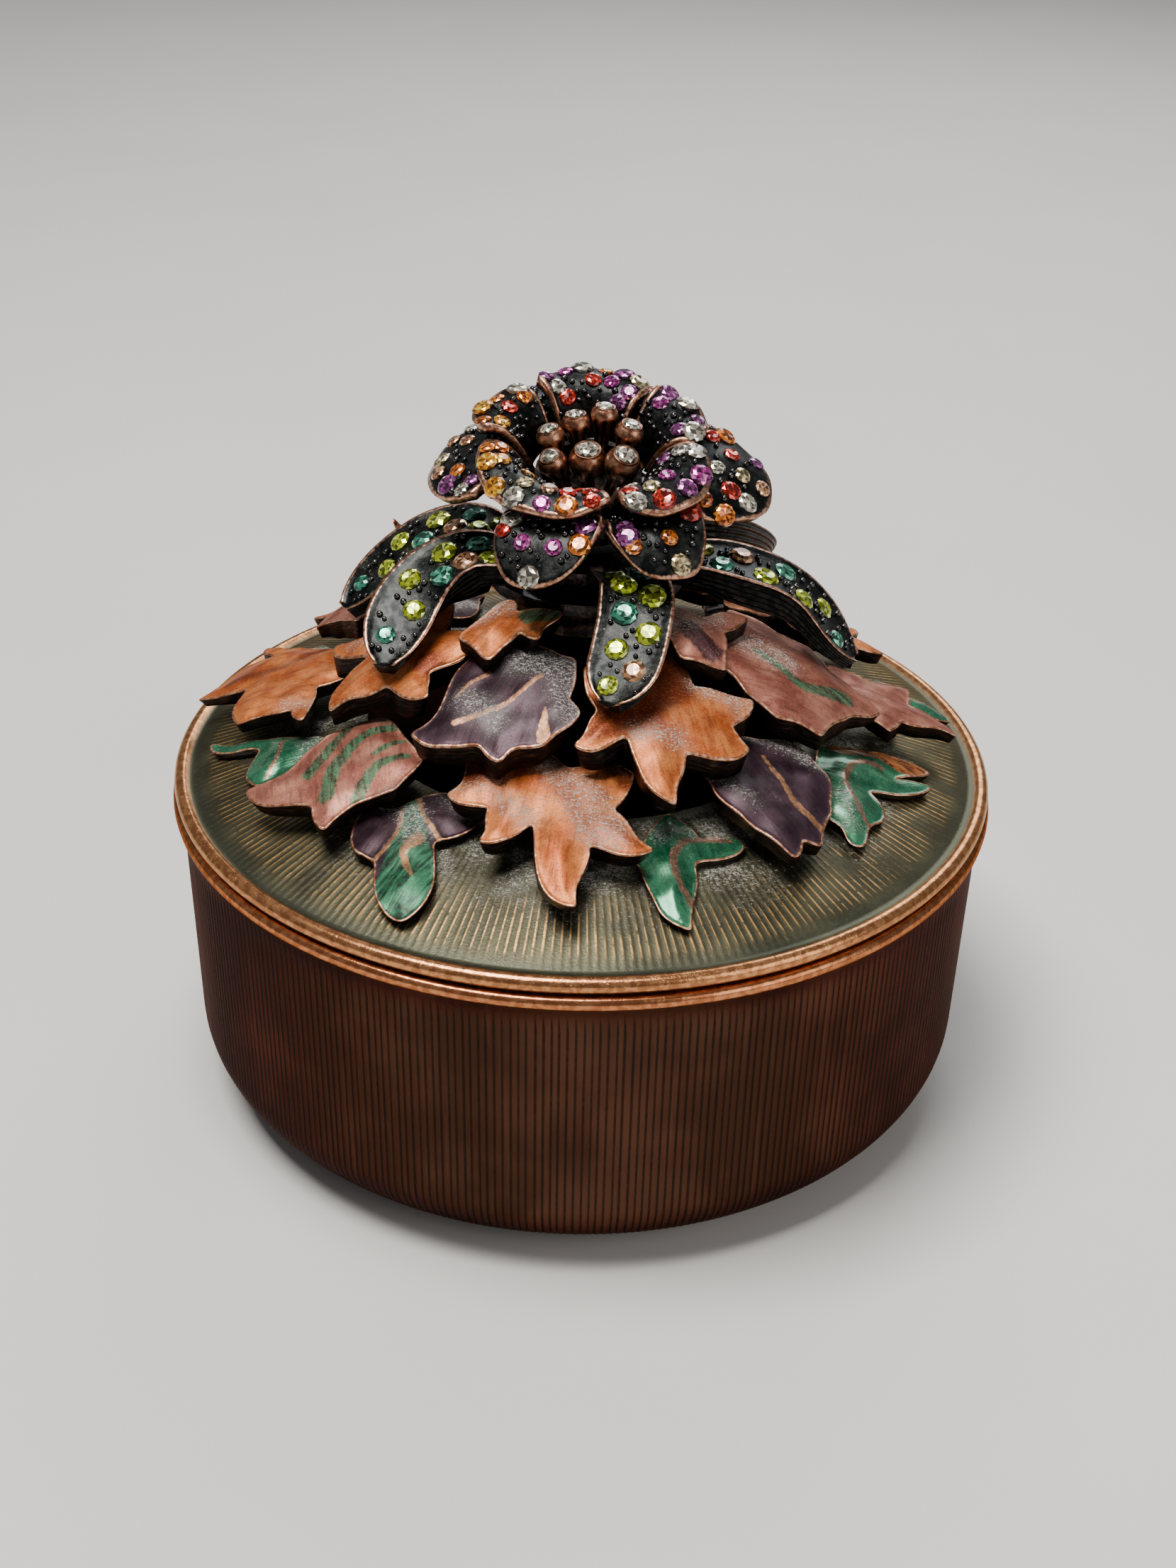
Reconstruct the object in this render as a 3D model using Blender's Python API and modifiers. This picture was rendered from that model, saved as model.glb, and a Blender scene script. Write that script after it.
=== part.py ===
"""A round metal trinket box: hollow base, domed lid pierced under a crown of enamelled leaves, set flower.

Lengths are in millimetres and turned into metres when a mesh is made. The origin is the middle of the flat
foot, Z is up and the front is -Y. An azimuth is measured about Z from the front, positive towards +X.
"""
import math
from collections import namedtuple

import bmesh
import bpy
from mathutils import Matrix, Vector
from mathutils.geometry import delaunay_2d_cdt

MM = 0.001

# The box
BOX_HEIGHT = 44.1        # foot to the top of the rim
WALL_TOP_RADIUS = 54.2   # outside of the wall under the bead
WALL_TAPER = 0.7         # how much smaller the wall is where the lower corner starts
CORNER_WIDTH = 14.8      # how far the rounded lower corner runs inwards
CORNER_HEIGHT = 11.2
WALL = 2.0
FLOOR = 2.2
BOX_BEAD_RADIUS = 0.95
BOX_BEAD_PROUD = 0.15    # the bead's centre stands this far outside the wall's outer face
BOX_BEAD_END_ANGLE = -75.0    # where the bead's round meets the wall, in degrees from straight out

# The lid
SEAM = 0.3               # gap between the box's rim and the lid
LID_BEAD_RADIUS = 1.05
LID_STEP = 0.3           # the lid's edge stands this far inside the edge of the box's bead
DOME_HEIGHT = 10.0       # from the middle of the bead to the top of the full dome
LID_THICKNESS = 1.8
OPENING_RADIUS = 29.0    # the lid is pierced under the leaves
LIP_DEPTH = 3.0
LIP_WALL = 1.4
LIP_CLEARANCE = 0.3      # between the lip and the inside of the box
LID_BEAD_START_ANGLE = 115.0  # where the dome meets the bead's round, in degrees from straight out

# The crown: tiers of leaves, each lying on the tier below
TIER_GAP = 0.4
LEAF_THICKNESS = (2.2, 3.0, 4.0, 2.8)
LEAF_THINNEST = 2.0
CROWN_INSET = 4.2                 # from the wall's top radius in to the crown's nominal radius
LEAVES_DRAWN_FOR = 50.0           # the leaves' places and sizes below are for this crown radius
CROWN_RISE = (0.0, 2.7, 13.5, 13.5)   # how much more than the dome each tier rises to the middle
CROWN_EDGE = (2.6, 5.4, 4.1, 7.3)     # height of each tier's face over the dome at the crown's edge
LEAF_UNDERCUT = 0.93              # size of a leaf's underside against its face
TIP_HANDLE = 0.46                 # how far an outline keeps its direction from a tip, as a share of the chord
NOTCH_HANDLE = 0.4                # the same from a notch
NOTCH_ROUND = 1.1                 # how much an outline leaves a notch outwards, so that lobes bulge
SOFT_TIP = 65.0                   # half angle in degrees from which a tip is a soft corner, with no notch
LIFT_CURVE = 5                    # how late along its length a lobe with a lift starts to rise

# The collar on the inner ends of the upper leaves
COLLAR_RADIUS = 10.4
COLLAR_DEPTH = 4.0                # below the flange
FLANGE_WIDTH = 2.4
FLANGE_THICKNESS = 1.6
NECK_RADIUS = 8.6
NECK_HEIGHT = 4.0
NECK_TOP_RADIUS = 6.0
NECK_SHOULDER = 1.6               # height of the neck's sloping shoulder

# The sepals
SEPAL_ROOT_DEPTH = 3.4
SEPAL_TIP_DEPTH = 2.2
SEPAL_BELLY = 1.8                 # how much deeper a sepal is at its middle
SEPAL_DISH = 0.4                  # how deep the set face is sunk between its rims
SEPAL_ROOT_WIDTH = 0.72           # width at the root against the widest
SEPAL_UNDER_WIDTH = 0.72          # width of the underside against the face
SEPAL_ROUNDS_FROM = 0.8           # share of the length where the tip starts to round off
SEPAL_TIP_WIDTH = 0.3             # width left at the very tip
SEPAL_CLEARANCE = 0.3

# The flower: a cup, two whorls of petals and the stamens, all about one tilted axis
FLOWER_TILT = 16.0                # degrees towards the front
FLOWER_LIFT = 5.5                 # from the top of the neck to the flower's own zero
CUP_RADIUS = 6.8
CUP_WALL = 0.8
CUP_FLANGE_WIDTH = 2.0
CUP_FLANGE_THICKNESS = 1.1
CUP_FLOOR = 1.2                   # the floor that carries the stamens
CUP_DEPTH = 4.0
CUP_FOOT = 4.4
PETAL_THICKNESS = 1.2
PETAL_CLEARANCE = 0.3
PETAL_ROUNDING = 0.26             # how much shorter a petal is at its sides, as a share of its length
PETAL_ROUNDING_CURVE = 2.4        # how late across a petal its end rounds off
PETAL_RIPPLES = 2.5               # half waves along a petal's rim
STAMEN_STALK_RADIUS = 1.0
STAMEN_BASE = 0.6                 # a stalk's spread at the cup's floor against its spread at the head
STAMEN_SEAT = 0.72                # radius of the flat seat against the head's
STAMEN_BALL_DROP = 0.75           # from the seat down to the ball's middle, against the head's radius
STAMEN_TAPER = 1.25               # from the ball's middle down to the plain stalk, the same way
STAMEN_SEAT_CHAMFER_ANGLE = 10.0  # how far below the seat's edge the ball's round starts
STAMEN_BALL_END_ANGLE = -40.0     # where the ball meets the taper, in degrees from level

# Facets
AROUND = 44
AROUND_SMALL = 24
AROUND_STAMEN = 8
BEAD_STEPS = 4
CORNER_STEPS = 4
DOME_STEPS = 3
PETAL_STEPS = (4, 6)              # root to rim, and across
SEPAL_STATIONS = (0, 0.18, 0.36, 0.52, 0.68, 0.82, 0.94, 1)   # shares of a sepal's length
STAMEN_BALL_STEPS = 2
LEAF_STEP = 3.3                   # along a leaf's outline
INNER_RING = 0.5                  # ring of points inside a leaf, against its outline
INNER_CLEAR = 0.4                 # how far they stay from the outline, against the step

# Radii and heights that follow
crown_radius = WALL_TOP_RADIUS - CROWN_INSET
wall_low_radius = WALL_TOP_RADIUS - WALL_TAPER
bead_height = BOX_HEIGHT + SEAM + LID_BEAD_RADIUS
bead_circle = WALL_TOP_RADIUS + BOX_BEAD_PROUD + BOX_BEAD_RADIUS - LID_STEP - LID_BEAD_RADIUS
inside_radius = WALL_TOP_RADIUS - WALL
crown_scale = crown_radius / LEAVES_DRAWN_FOR

COLOURS = {
    # name: colour, roughness, metallic
    "patina": ((0.075, 0.030, 0.018), 0.42, 0.9),
    "olive": ((0.075, 0.080, 0.050), 0.45, 0.9),
    "dark": ((0.030, 0.026, 0.024), 0.40, 0.9),
    "orange": ((0.60, 0.20, 0.07), 0.35, 0.5),
    "pink": ((0.46, 0.20, 0.16), 0.40, 0.5),
    "purple": ((0.15, 0.07, 0.12), 0.35, 0.5),
    "green": ((0.05, 0.24, 0.14), 0.30, 0.5),
    "copper": ((0.45, 0.20, 0.10), 0.35, 1.0),
}

# A leaf's outline runs round its corners, which are given about the leaf's middle: direction in degrees from
# straight out, and reach. A tip has its hook (degrees it turns aside), half its angle and how far it rises.
Tip = namedtuple("Tip", "direction reach hook point lift", defaults=(0, 32, 0))
Notch = namedtuple("Notch", "direction reach")
# tier, place about the lid's axis, colour, depth of the notches that aren't given as a share of the reach
Leaf = namedtuple("Leaf", "name tier azimuth radius colour notch corners")

LEAVES = (
    # First tier: small leaves lying on the dome
    Leaf("leaf_green_left", 0, -74, 41.0, "green", 0.62,
         (Notch(-100, 4.5), Tip(-51, 13, -30, 28), Notch(-57, 4.3), Tip(55, 6.8, 20, 55), Notch(95, 5.5),
          Tip(150, 8, 0, 50), Notch(-170, 6))),
    Leaf("leaf_purple_front_left", 0, -33, 38.0, "purple", 0.8,
         (Notch(-120, 5), Tip(-90, 8.1, 0, 75), Tip(-34, 7.3, 30, 60), Notch(-13, 6), Tip(32, 14.3, 0, 58),
          Notch(88, 3.6), Tip(133, 9.2, 15, 35), Notch(160, 6), Tip(-178, 8, 0, 50))),
    Leaf("leaf_green_front_right", 0, 18, 40.0, "green", 0.62,
         (Tip(-125, 6.5, 0, 60), Tip(-98, 5.2, 0, 75), Tip(-11, 8.9, 35, 38), Notch(114, 2.1),
          Tip(114, 9.9, 20, 62), Notch(140, 6), Tip(172, 10, 0, 50), Notch(-140, 6))),
    Leaf("leaf_green_right", 0, 66, 40.0, "green", 0.62,
         (Tip(-94, 10.5, 0, 80), Tip(-76, 13.1, 0, 80), Tip(-56, 7.6, 20, 70), Notch(-40, 1.3),
          Tip(45, 10.5, 10, 26), Notch(63, 5.5), Tip(60, 12.3, -30, 38), Notch(95, 9.5),
          Tip(150, 9, 0, 60), Notch(-165, 7))),
    Leaf("leaf_green_far_right", 0, 104, 43.0, "green", 0.66,
         (Tip(-100, 5.4, 0, 50), Tip(-24, 10.4, 0, 38), Tip(80, 5.4, 0, 50), Tip(175, 10, 0, 50))),
    Leaf("leaf_green_far_left", 0, -112, 44.5, "green", 0.66,
         (Tip(-95, 7.5, 0, 50), Tip(20, 8.2, 15), Tip(95, 6, 0, 50), Tip(175, 10, 0, 50))),
    Leaf("leaf_purple_back_right", 0, 142, 40.0, "purple", 0.74,
         (Tip(-100, 9, -20), Tip(-5, 11, 20), Tip(95, 9), Tip(180, 11, 0, 50))),
    Leaf("leaf_green_back", 0, -178, 41.0, "green", 0.6,
         (Tip(-92, 8, -30), Tip(-10, 10, 30), Tip(98, 8, -30), Tip(172, 11, 0, 50))),
    Leaf("leaf_purple_back_left", 0, -146, 40.0, "purple", 0.74,
         (Tip(-100, 8.4, -20), Tip(5, 10.5, -20), Tip(100, 8), Tip(180, 11, 0, 50))),
    # Second tier: larger leaves overlapping the first
    Leaf("leaf_pink_left", 1, -51, 37.5, "pink", 0.8,
         (Notch(-105, 8.4), Tip(-43, 13.4, -38), Notch(13, 6.8), Tip(39, 10.3, 18, 38), Notch(101, 8.6),
          Tip(135, 9.6, 10, 60), Notch(150, 8.6), Tip(-150, 10, 0, 60))),
    Leaf("leaf_orange_front", 1, -8, 33.5, "orange", 0.56,
         (Tip(-128, 13, 0, 70), Tip(-94, 12.3, -15, 36), Notch(-80, 6.5), Tip(-48, 9.4, -35, 34),
          Notch(-12, 3.2), Tip(25, 15.6, 32), Notch(50, 8.6), Tip(74, 15.1, 38, 30), Notch(92, 8.6),
          Tip(125, 12.5, 0, 60), Notch(160, 6.5), Tip(-155, 10.5, 0, 50))),
    Leaf("leaf_purple_right", 1, 40, 36.0, "purple", 0.8,
         (Tip(-116, 7.4, 0, 75), Notch(-65, 6.9), Tip(-25, 10.6, -10, 50), Tip(1, 9.7, 10, 50),
          Notch(40, 8.1), Tip(85, 9.5, 0, 75), Tip(120, 10.5, 0, 75), Tip(160, 9.5, 0, 70),
          Tip(-140, 9, 0, 70))),
    Leaf("leaf_pink_far_right", 1, 88, 38.0, "pink", 0.56,
         (Tip(-140, 8, 0, 50), Tip(-70, 8), Tip(-5, 12.8, -25, 26), Tip(48, 10, -10), Tip(130, 8, 0, 50))),
    Leaf("leaf_orange_back_right", 1, 120, 37.5, "orange", 0.5,
         (Tip(-150, 8, 0, 50), Tip(-86, 9.6, 25), Tip(-32, 10.5, 25), Tip(22, 11.4, 25), Tip(88, 9.5, 20),
          Tip(150, 8, 0, 50))),
    Leaf("leaf_orange_left", 1, -93, 38.5, "orange", 0.56,
         (Tip(-150, 9, 0, 50), Notch(-100, 7), Tip(-64, 17, -20, 34), Notch(-62, 11.8),
          Tip(-9, 15.3, 25, 30), Notch(-3, 7.4), Tip(55, 11.7, 20, 45), Notch(93, 9.1),
          Tip(102, 13.4, 15, 34), Notch(122, 6), Tip(160, 9, 0, 50))),
    Leaf("leaf_orange_back_left", 1, -131, 38.0, "orange", 0.5,
         (Tip(-150, 8.4, 0, 50), Tip(-80, 10.2, 25), Tip(-22, 11.4, 25), Tip(30, 11.4, -25),
          Tip(84, 9.5, -20), Tip(150, 8, 0, 50))),
    Leaf("leaf_pink_back", 1, 155, 37.5, "pink", 0.76,
         (Tip(-150, 10, 0, 50), Tip(-80, 9, -20), Tip(-30, 12, -30), Tip(38, 11, 20), Tip(100, 9, 20),
          Tip(160, 9, 0, 50))),
    Leaf("leaf_orange_back", 1, -168, 37.0, "orange", 0.5,
         (Tip(-150, 8, 0, 50), Tip(-92, 9, 25), Tip(-40, 10.5, -25), Tip(10, 13, 30), Tip(70, 10, 25),
          Tip(135, 8, 0, 50))),
    # Third tier: leaves leaning up to the collar
    Leaf("upper_leaf_orange_left", 2, -64, 29.0, "orange", 0.56,
         (Notch(-120, 8), Tip(-84, 12.6, -20, 34), Notch(-92, 4.2), Tip(8, 7.4, 30, 38), Notch(82, 3.9),
          Tip(105, 10.7, 15), Notch(125, 7.5), Tip(150, 13.4, 0, 50), Notch(180, 9), Tip(-155, 14, 0, 50))),
    Leaf("upper_leaf_purple_front", 2, -23, 26.5, "purple", 0.8,
         (Notch(-120, 9), Tip(-62, 11.1, -32), Notch(-2, 5.5), Tip(27, 7.8, 12, 45), Notch(68, 8.4),
          Tip(103, 10.4, 10, 60), Notch(115, 8.6), Tip(148, 11.5, 0, 55), Notch(175, 10),
          Tip(-160, 13, 0, 55))),
    Leaf("upper_leaf_orange_front", 2, 19, 28.5, "orange", 0.56,
         (Notch(-118, 7.6), Tip(-92, 11.1, -25), Notch(-86, 4.3), Tip(-5, 9.6, 35, 34), Notch(31, 4.2),
          Tip(72, 11.5, 25, 30), Notch(86, 9.3), Tip(104, 14.4, 20, 34), Notch(128, 8),
          Tip(158, 13, 0, 50), Notch(-178, 9), Tip(-150, 12.4, 0, 50))),
    Leaf("upper_leaf_pink_right", 2, 63, 29.5, "pink", 0.8,
         (Tip(-114, 8, 0, 60), Notch(-80, 7.7), Tip(-36, 8.3, 0, 42), Notch(21, 7.8),
          Tip(46, 13.6, 15, 30), Notch(75, 8.4), Tip(100, 10.6, 0, 60), Tip(150, 14, 0, 50),
          Notch(178, 9.5), Tip(-160, 13, 0, 50), Notch(-130, 8))),
    Leaf("upper_leaf_orange_right", 2, 108, 29.0, "orange", 0.54,
         (Tip(-92, 9.5, 25), Tip(-30, 10.5, 25), Tip(28, 10.5, 25), Tip(88, 9.5, 20), Tip(150, 14, 0, 50),
          Tip(-150, 14, 0, 50))),
    Leaf("upper_leaf_purple_back", 2, 152, 28.5, "purple", 0.74,
         (Tip(-92, 9, -25), Tip(-30, 10, -20), Tip(30, 10, 15), Tip(92, 9), Tip(180, 16, 0, 50))),
    Leaf("upper_leaf_orange_back", 2, -163, 29.0, "orange", 0.54,
         (Tip(-92, 9.5, 25), Tip(-30, 10.5, 25), Tip(28, 10.5, -25), Tip(88, 9.5, -20), Tip(150, 14, 0, 50),
          Tip(-150, 14, 0, 50))),
    Leaf("upper_leaf_pink_back_left", 2, -112, 29.5, "pink", 0.74,
         (Tip(-100, 10, -20), Tip(-35, 9.5, -25), Tip(30, 10, 20), Tip(92, 9.6), Tip(180, 17, 0, 50))),
    # Fourth tier: small curled leaves between the sepals
    Leaf("small_leaf_orange_front", 3, -38, 19.5, "orange", 0.56,
         (Tip(-51, 4, -10, 55), Notch(8, 3.4), Tip(44, 5.5, 15, 50), Notch(114, 4), Tip(106, 7.2, 0, 50),
          Notch(121, 7), Tip(139, 9.6, 20, 50), Notch(165, 4.2), Tip(-172, 6, 0, 60))),
    Leaf("small_leaf_pink_front", 3, 43, 21.0, "pink", 0.8,
         (Tip(-73, 4.9, 0, 60), Notch(-41, 4.3), Tip(-6, 5.8, 15, 40), Notch(84, 4), Tip(92, 9.6, -20, 28),
          Notch(130, 4), Tip(178, 6.5, 0, 60), Notch(-130, 4.5))),
    Leaf("small_leaf_pink_left", 3, -127, 22.0, "pink", 0.66,
         (Tip(-95, 6.5, 0, 50), Tip(5, 11.5, 20, 32, 7), Tip(95, 6, 0, 50), Tip(180, 7, 0, 50))),
    Leaf("small_leaf_orange_back", 3, 165, 20.5, "orange", 0.66,
         (Tip(-95, 6.5, 0, 50), Tip(-25, 8, 20), Tip(35, 8, -20), Tip(100, 6.5, 0, 50),
          Tip(180, 6.5, 0, 50))),
)

# azimuths and radii of a sepal's middle line at its root, shoulder, middle and tip, and the shoulder's and
# the middle's rise over the root's face
Sepal = namedtuple("Sepal", "name azimuths radii shoulder middle width roll")
SEPALS = (
    Sepal("sepal_front", (23, 23, 15, 6), (9.8, 15.5, 22, 28.5), 0.4, -3.5, 9.4, 0),
    Sepal("sepal_right", (70, 75, 80, 80), (9.8, 19, 28, 36), -0.2, -4.0, 8.8, 8),
    Sepal("sepal_front_left", (-55, -70, -70, -55), (9.8, 15.5, 22, 30.5), 0.4, -2.6, 9.0, -12),
    Sepal("sepal_left", (-99, -105, -100, -91), (9.8, 16.5, 24, 32), 0.6, -2.8, 7.8, -10),
    Sepal("sepal_back_right", (126, 121, 126, 134), (9.8, 17, 25, 33), 0.8, -3.4, 8.4, 0),
    Sepal("sepal_back_left", (-158, -156, -160, -168), (9.8, 17, 25, 33), 0.8, -2.8, 8.4, 0),
)

# Whorls: the four guide points of a petal's middle line, as radius and height about the flower's axis
INNER_WHORL = ((7.2, 3.7), (9.6, 9.6), (12.0, 10.9), (15.8, 8.0))
OUTER_WHORL = ((7.2, 0.9), (11.4, 7.2), (15.0, 7.8), (20.0, 1.8))
Petal = namedtuple("Petal", "name whorl azimuth half_angle reach shingle ripple narrowing rounding",
                   defaults=(0.3, PETAL_ROUNDING))
PETALS = (
    Petal("inner_petal_front_left", INNER_WHORL, -38, 50, 0.0, 0.3, 0.3, 0.1),
    Petal("inner_petal_front_right", INNER_WHORL, 52, 34, 1.4, 0.4, -0.3, 0.1),
    Petal("inner_petal_right", INNER_WHORL, 115, 24, 0.3, 0.5, 0.4, 0.1),
    Petal("inner_petal_back", INNER_WHORL, 178, 33, 0.5, 0.4, 0.4, 0.1),
    Petal("inner_petal_left", INNER_WHORL, -119, 25, 0.3, 0.4, 0.3, 0.1),
    Petal("outer_petal_front_left", OUTER_WHORL, -20, 28, 1.6, 1.1, 0.2, 0.2, 0.5),
    Petal("outer_petal_front_right", OUTER_WHORL, 35, 25, 1.6, 1.1, -0.5, 0.2, 0.5),
    Petal("outer_petal_right", OUTER_WHORL, 87, 29, 3.4, 1.1, 0.3),
    Petal("outer_petal_back_right", OUTER_WHORL, 144, 29, 1.0, 1.1, 0.3),
    Petal("outer_petal_back_left", OUTER_WHORL, -158, 29, 1.0, 1.1, -0.3),
    Petal("outer_petal_left", OUTER_WHORL, -93, 33, 0.4, 1.1, 0.3),
)

Stamen = namedtuple("Stamen", "name azimuth spread height head")
STAMENS = (
    Stamen("stamen_middle", -10, 0.8, 8.0, 2.4),
    Stamen("stamen_left_low", -74, 5.1, 7.4, 1.9),
    Stamen("stamen_left_high", -116, 5.8, 8.6, 1.9),
    Stamen("stamen_back_left", -160, 5.2, 9.2, 1.9),
    Stamen("stamen_back", 160, 5.9, 10.0, 1.8),
    Stamen("stamen_back_right", 114, 5.9, 9.6, 1.9),
    Stamen("stamen_right", 62, 5.3, 8.6, 2.3),
)


def polar(azimuth, radius, z=0.0):
    """A point from its azimuth in degrees, its radius and its height."""
    a = math.radians(azimuth)
    return Vector((radius * math.sin(a), -radius * math.cos(a), z))


def arc(centre, radius_x, radius_z, start, end, steps):
    """Points on an elliptic arc in the profile plane, angles in degrees from +X."""
    angles = [math.radians(start + (end - start) * i / steps) for i in range(steps + 1)]
    return [(centre[0] + radius_x * math.cos(a), centre[1] + radius_z * math.sin(a)) for a in angles]


def spline(values, t):
    """Smooth curve through evenly spaced values, t from 0 to 1."""
    last = len(values) - 1
    i = min(int(t * last), last - 1)
    s = t * last - i
    before = values[i - 1] if i > 0 else 2 * values[0] - values[1]
    after = values[i + 2] if i + 2 <= last else 2 * values[last] - values[last - 1]
    a, b = values[i], values[i + 1]
    return 0.5 * (2 * a + (b - before) * s + (2 * before - 5 * a + 4 * b - after) * s ** 2
                  + (3 * a - before - 3 * b + after) * s ** 3)


def bezier(points, t):
    """Cubic curve from four guide points."""
    s = 1 - t
    weights = (s ** 3, 3 * s * s * t, 3 * s * t * t, t ** 3)
    return tuple(sum(w * p[k] for w, p in zip(weights, points)) for k in range(2))


def dome(radius):
    """Height of the lid's outer face."""
    return bead_height + DOME_HEIGHT * (1 - (min(radius, bead_circle) / bead_circle) ** 2)


def tier_face(tier, radius):
    """Height of the faces of a tier of leaves."""
    if tier < 0:
        return dome(radius)
    shape = dome(radius) + CROWN_EDGE[tier] + CROWN_RISE[tier] * (1 - (radius / crown_radius) ** 2)
    return max(shape, tier_face(tier - 1, radius) + TIER_GAP + LEAF_THINNEST)


def tier_underside(tier, radius):
    """Height of the undersides of a tier of leaves."""
    return max(tier_face(tier, radius) - LEAF_THICKNESS[tier], tier_face(tier - 1, radius) + TIER_GAP)


collar_flange_low = tier_face(2, COLLAR_RADIUS) + TIER_GAP
collar_flange_top = collar_flange_low + FLANGE_THICKNESS
collar_top = collar_flange_top + NECK_HEIGHT
sepal_root = collar_flange_top + SEPAL_CLEARANCE + SEPAL_ROOT_DEPTH
flower_zero = collar_top + FLOWER_LIFT


def material(colour):
    """The material of one colour, made once."""
    found = bpy.data.materials.get(colour)
    if found:
        return found
    made = bpy.data.materials.new(colour)
    made.use_nodes = True
    shader = made.node_tree.nodes["Principled BSDF"]
    base, roughness, metallic = COLOURS[colour]
    shader.inputs["Base Color"].default_value = (*base, 1.0)
    shader.inputs["Roughness"].default_value = roughness
    shader.inputs["Metallic"].default_value = metallic
    made.diffuse_color = (*base, 1.0)
    return made


def add_object(name, mesh, colour, collection):
    """Put a mesh in the scene under a name."""
    obj = bpy.data.objects.new(name, mesh)
    mesh.materials.append(material(colour))
    collection.objects.link(obj)
    return obj


def solid(name, points, faces, colour, collection):
    """A closed solid from points in millimetres and faces."""
    mesh = bpy.data.meshes.new(name)
    mesh.from_pydata([p * MM for p in points], [], faces)
    shape = bmesh.new()
    shape.from_mesh(mesh)
    bmesh.ops.recalc_face_normals(shape, faces=shape.faces)
    shape.to_mesh(mesh)
    shape.free()
    return add_object(name, mesh, colour, collection)


def turned(name, profile, steps, colour, collection, closed=False):
    """A turned solid: the profile goes down its outer side; a closed one is a ring."""
    mesh = bpy.data.meshes.new(name)
    count = len(profile)
    edges = [(i, (i + 1) % count) for i in range(count if closed else count - 1)]
    mesh.from_pydata([(r * MM, 0, z * MM) for r, z in profile], edges, [])
    obj = add_object(name, mesh, colour, collection)
    screw = obj.modifiers.new("turn", "SCREW")
    screw.angle = 2 * math.pi
    screw.steps = screw.render_steps = steps
    screw.use_merge_vertices = True
    screw.merge_threshold = 0.00001
    return obj


def make_box(collection):
    """The hollow base, one shell from the middle of its floor out over the rim and down to its foot."""
    rim_inner = inside_radius
    inner_low = wall_low_radius - WALL
    inner_corner = (CORNER_WIDTH - WALL, CORNER_HEIGHT - FLOOR * 0.5)
    inner_centre = (inner_low - inner_corner[0], FLOOR + inner_corner[1])
    bead_centre = (WALL_TOP_RADIUS + BOX_BEAD_PROUD, BOX_HEIGHT - BOX_BEAD_RADIUS)
    profile = [(0, FLOOR)]
    profile += arc(inner_centre, *inner_corner, -90, 0, CORNER_STEPS)
    profile += [(rim_inner, BOX_HEIGHT)]
    profile += arc(bead_centre, BOX_BEAD_RADIUS, BOX_BEAD_RADIUS, 90, BOX_BEAD_END_ANGLE, BEAD_STEPS)
    profile += [(WALL_TOP_RADIUS, BOX_HEIGHT - 2 * BOX_BEAD_RADIUS - BOX_BEAD_PROUD)]
    foot_centre = (wall_low_radius - CORNER_WIDTH, CORNER_HEIGHT)
    profile += arc(foot_centre, CORNER_WIDTH, CORNER_HEIGHT, 0, -90, CORNER_STEPS)
    profile += [(0, 0)]
    turned("box", profile, AROUND, "patina", collection)


def make_lid(collection):
    """The pierced dome with its bead and the lip that sits inside the box."""
    bead_inner = bead_circle - LID_BEAD_RADIUS
    lip_outer = inside_radius - LIP_CLEARANCE
    lip_inner = lip_outer - LIP_WALL
    ledge = bead_height - LID_BEAD_RADIUS
    radii = [OPENING_RADIUS + (bead_inner - OPENING_RADIUS) * i / DOME_STEPS for i in range(DOME_STEPS + 1)]
    under = [OPENING_RADIUS + (lip_inner - OPENING_RADIUS) * i / DOME_STEPS for i in range(DOME_STEPS + 1)]
    profile = [(r, dome(r)) for r in radii]
    profile += arc((bead_circle, bead_height), LID_BEAD_RADIUS, LID_BEAD_RADIUS, LID_BEAD_START_ANGLE, -90,
                   BEAD_STEPS)
    profile += [(lip_outer, ledge), (lip_outer, ledge - LIP_DEPTH), (lip_inner, ledge - LIP_DEPTH)]
    profile += [(r, dome(r) - LID_THICKNESS) for r in reversed(under)]
    turned("lid", profile, AROUND, "olive", collection, closed=True)


def leaf_corners(leaf):
    """A leaf's tips and notches, with a notch put in where two sharp tips follow each other."""
    corners = []
    for one, two in zip(leaf.corners, leaf.corners[1:] + leaf.corners[:1]):
        corners.append(one)
        if isinstance(one, Tip) and isinstance(two, Tip) and max(one.point, two.point) < SOFT_TIP:
            turn = (two.direction - one.direction) % 360
            reach = 2 * one.reach * two.reach / (one.reach + two.reach)
            corners.append(Notch(one.direction + turn / 2, reach * leaf.notch))
    return corners


def leaf_outline(leaf, longest):
    """Outline about the leaf's middle, in steps no longer than about this."""
    corners = leaf_corners(leaf)
    count = len(corners)

    def unit(direction):
        a = math.radians(leaf.azimuth - 90 + direction)
        return Vector((math.cos(a), math.sin(a)))

    places = [unit(c.direction) * c.reach * crown_scale for c in corners]

    def guide(i, way, chord):
        """Guide point next to a corner, on the side of the one after it or before it."""
        corner, here = corners[i], places[i]
        if isinstance(corner, Tip):
            return here - unit(corner.direction + corner.hook - way * corner.point) * chord * TIP_HANDLE
        ahead = (places[(i + way) % count] - here).normalized()
        behind = (places[(i - way) % count] - here).normalized()
        return here + (ahead + (ahead + behind) * NOTCH_ROUND / 2).normalized() * chord * NOTCH_HANDLE

    outline = []
    for i in range(count):
        j = (i + 1) % count
        chord = (places[j] - places[i]).length
        guides = (places[i], guide(i, 1, chord), guide(j, -1, chord), places[j])
        steps = max(1, round(chord / longest))
        outline += [Vector(bezier(guides, k / steps)) for k in range(steps)]
    return outline


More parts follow.
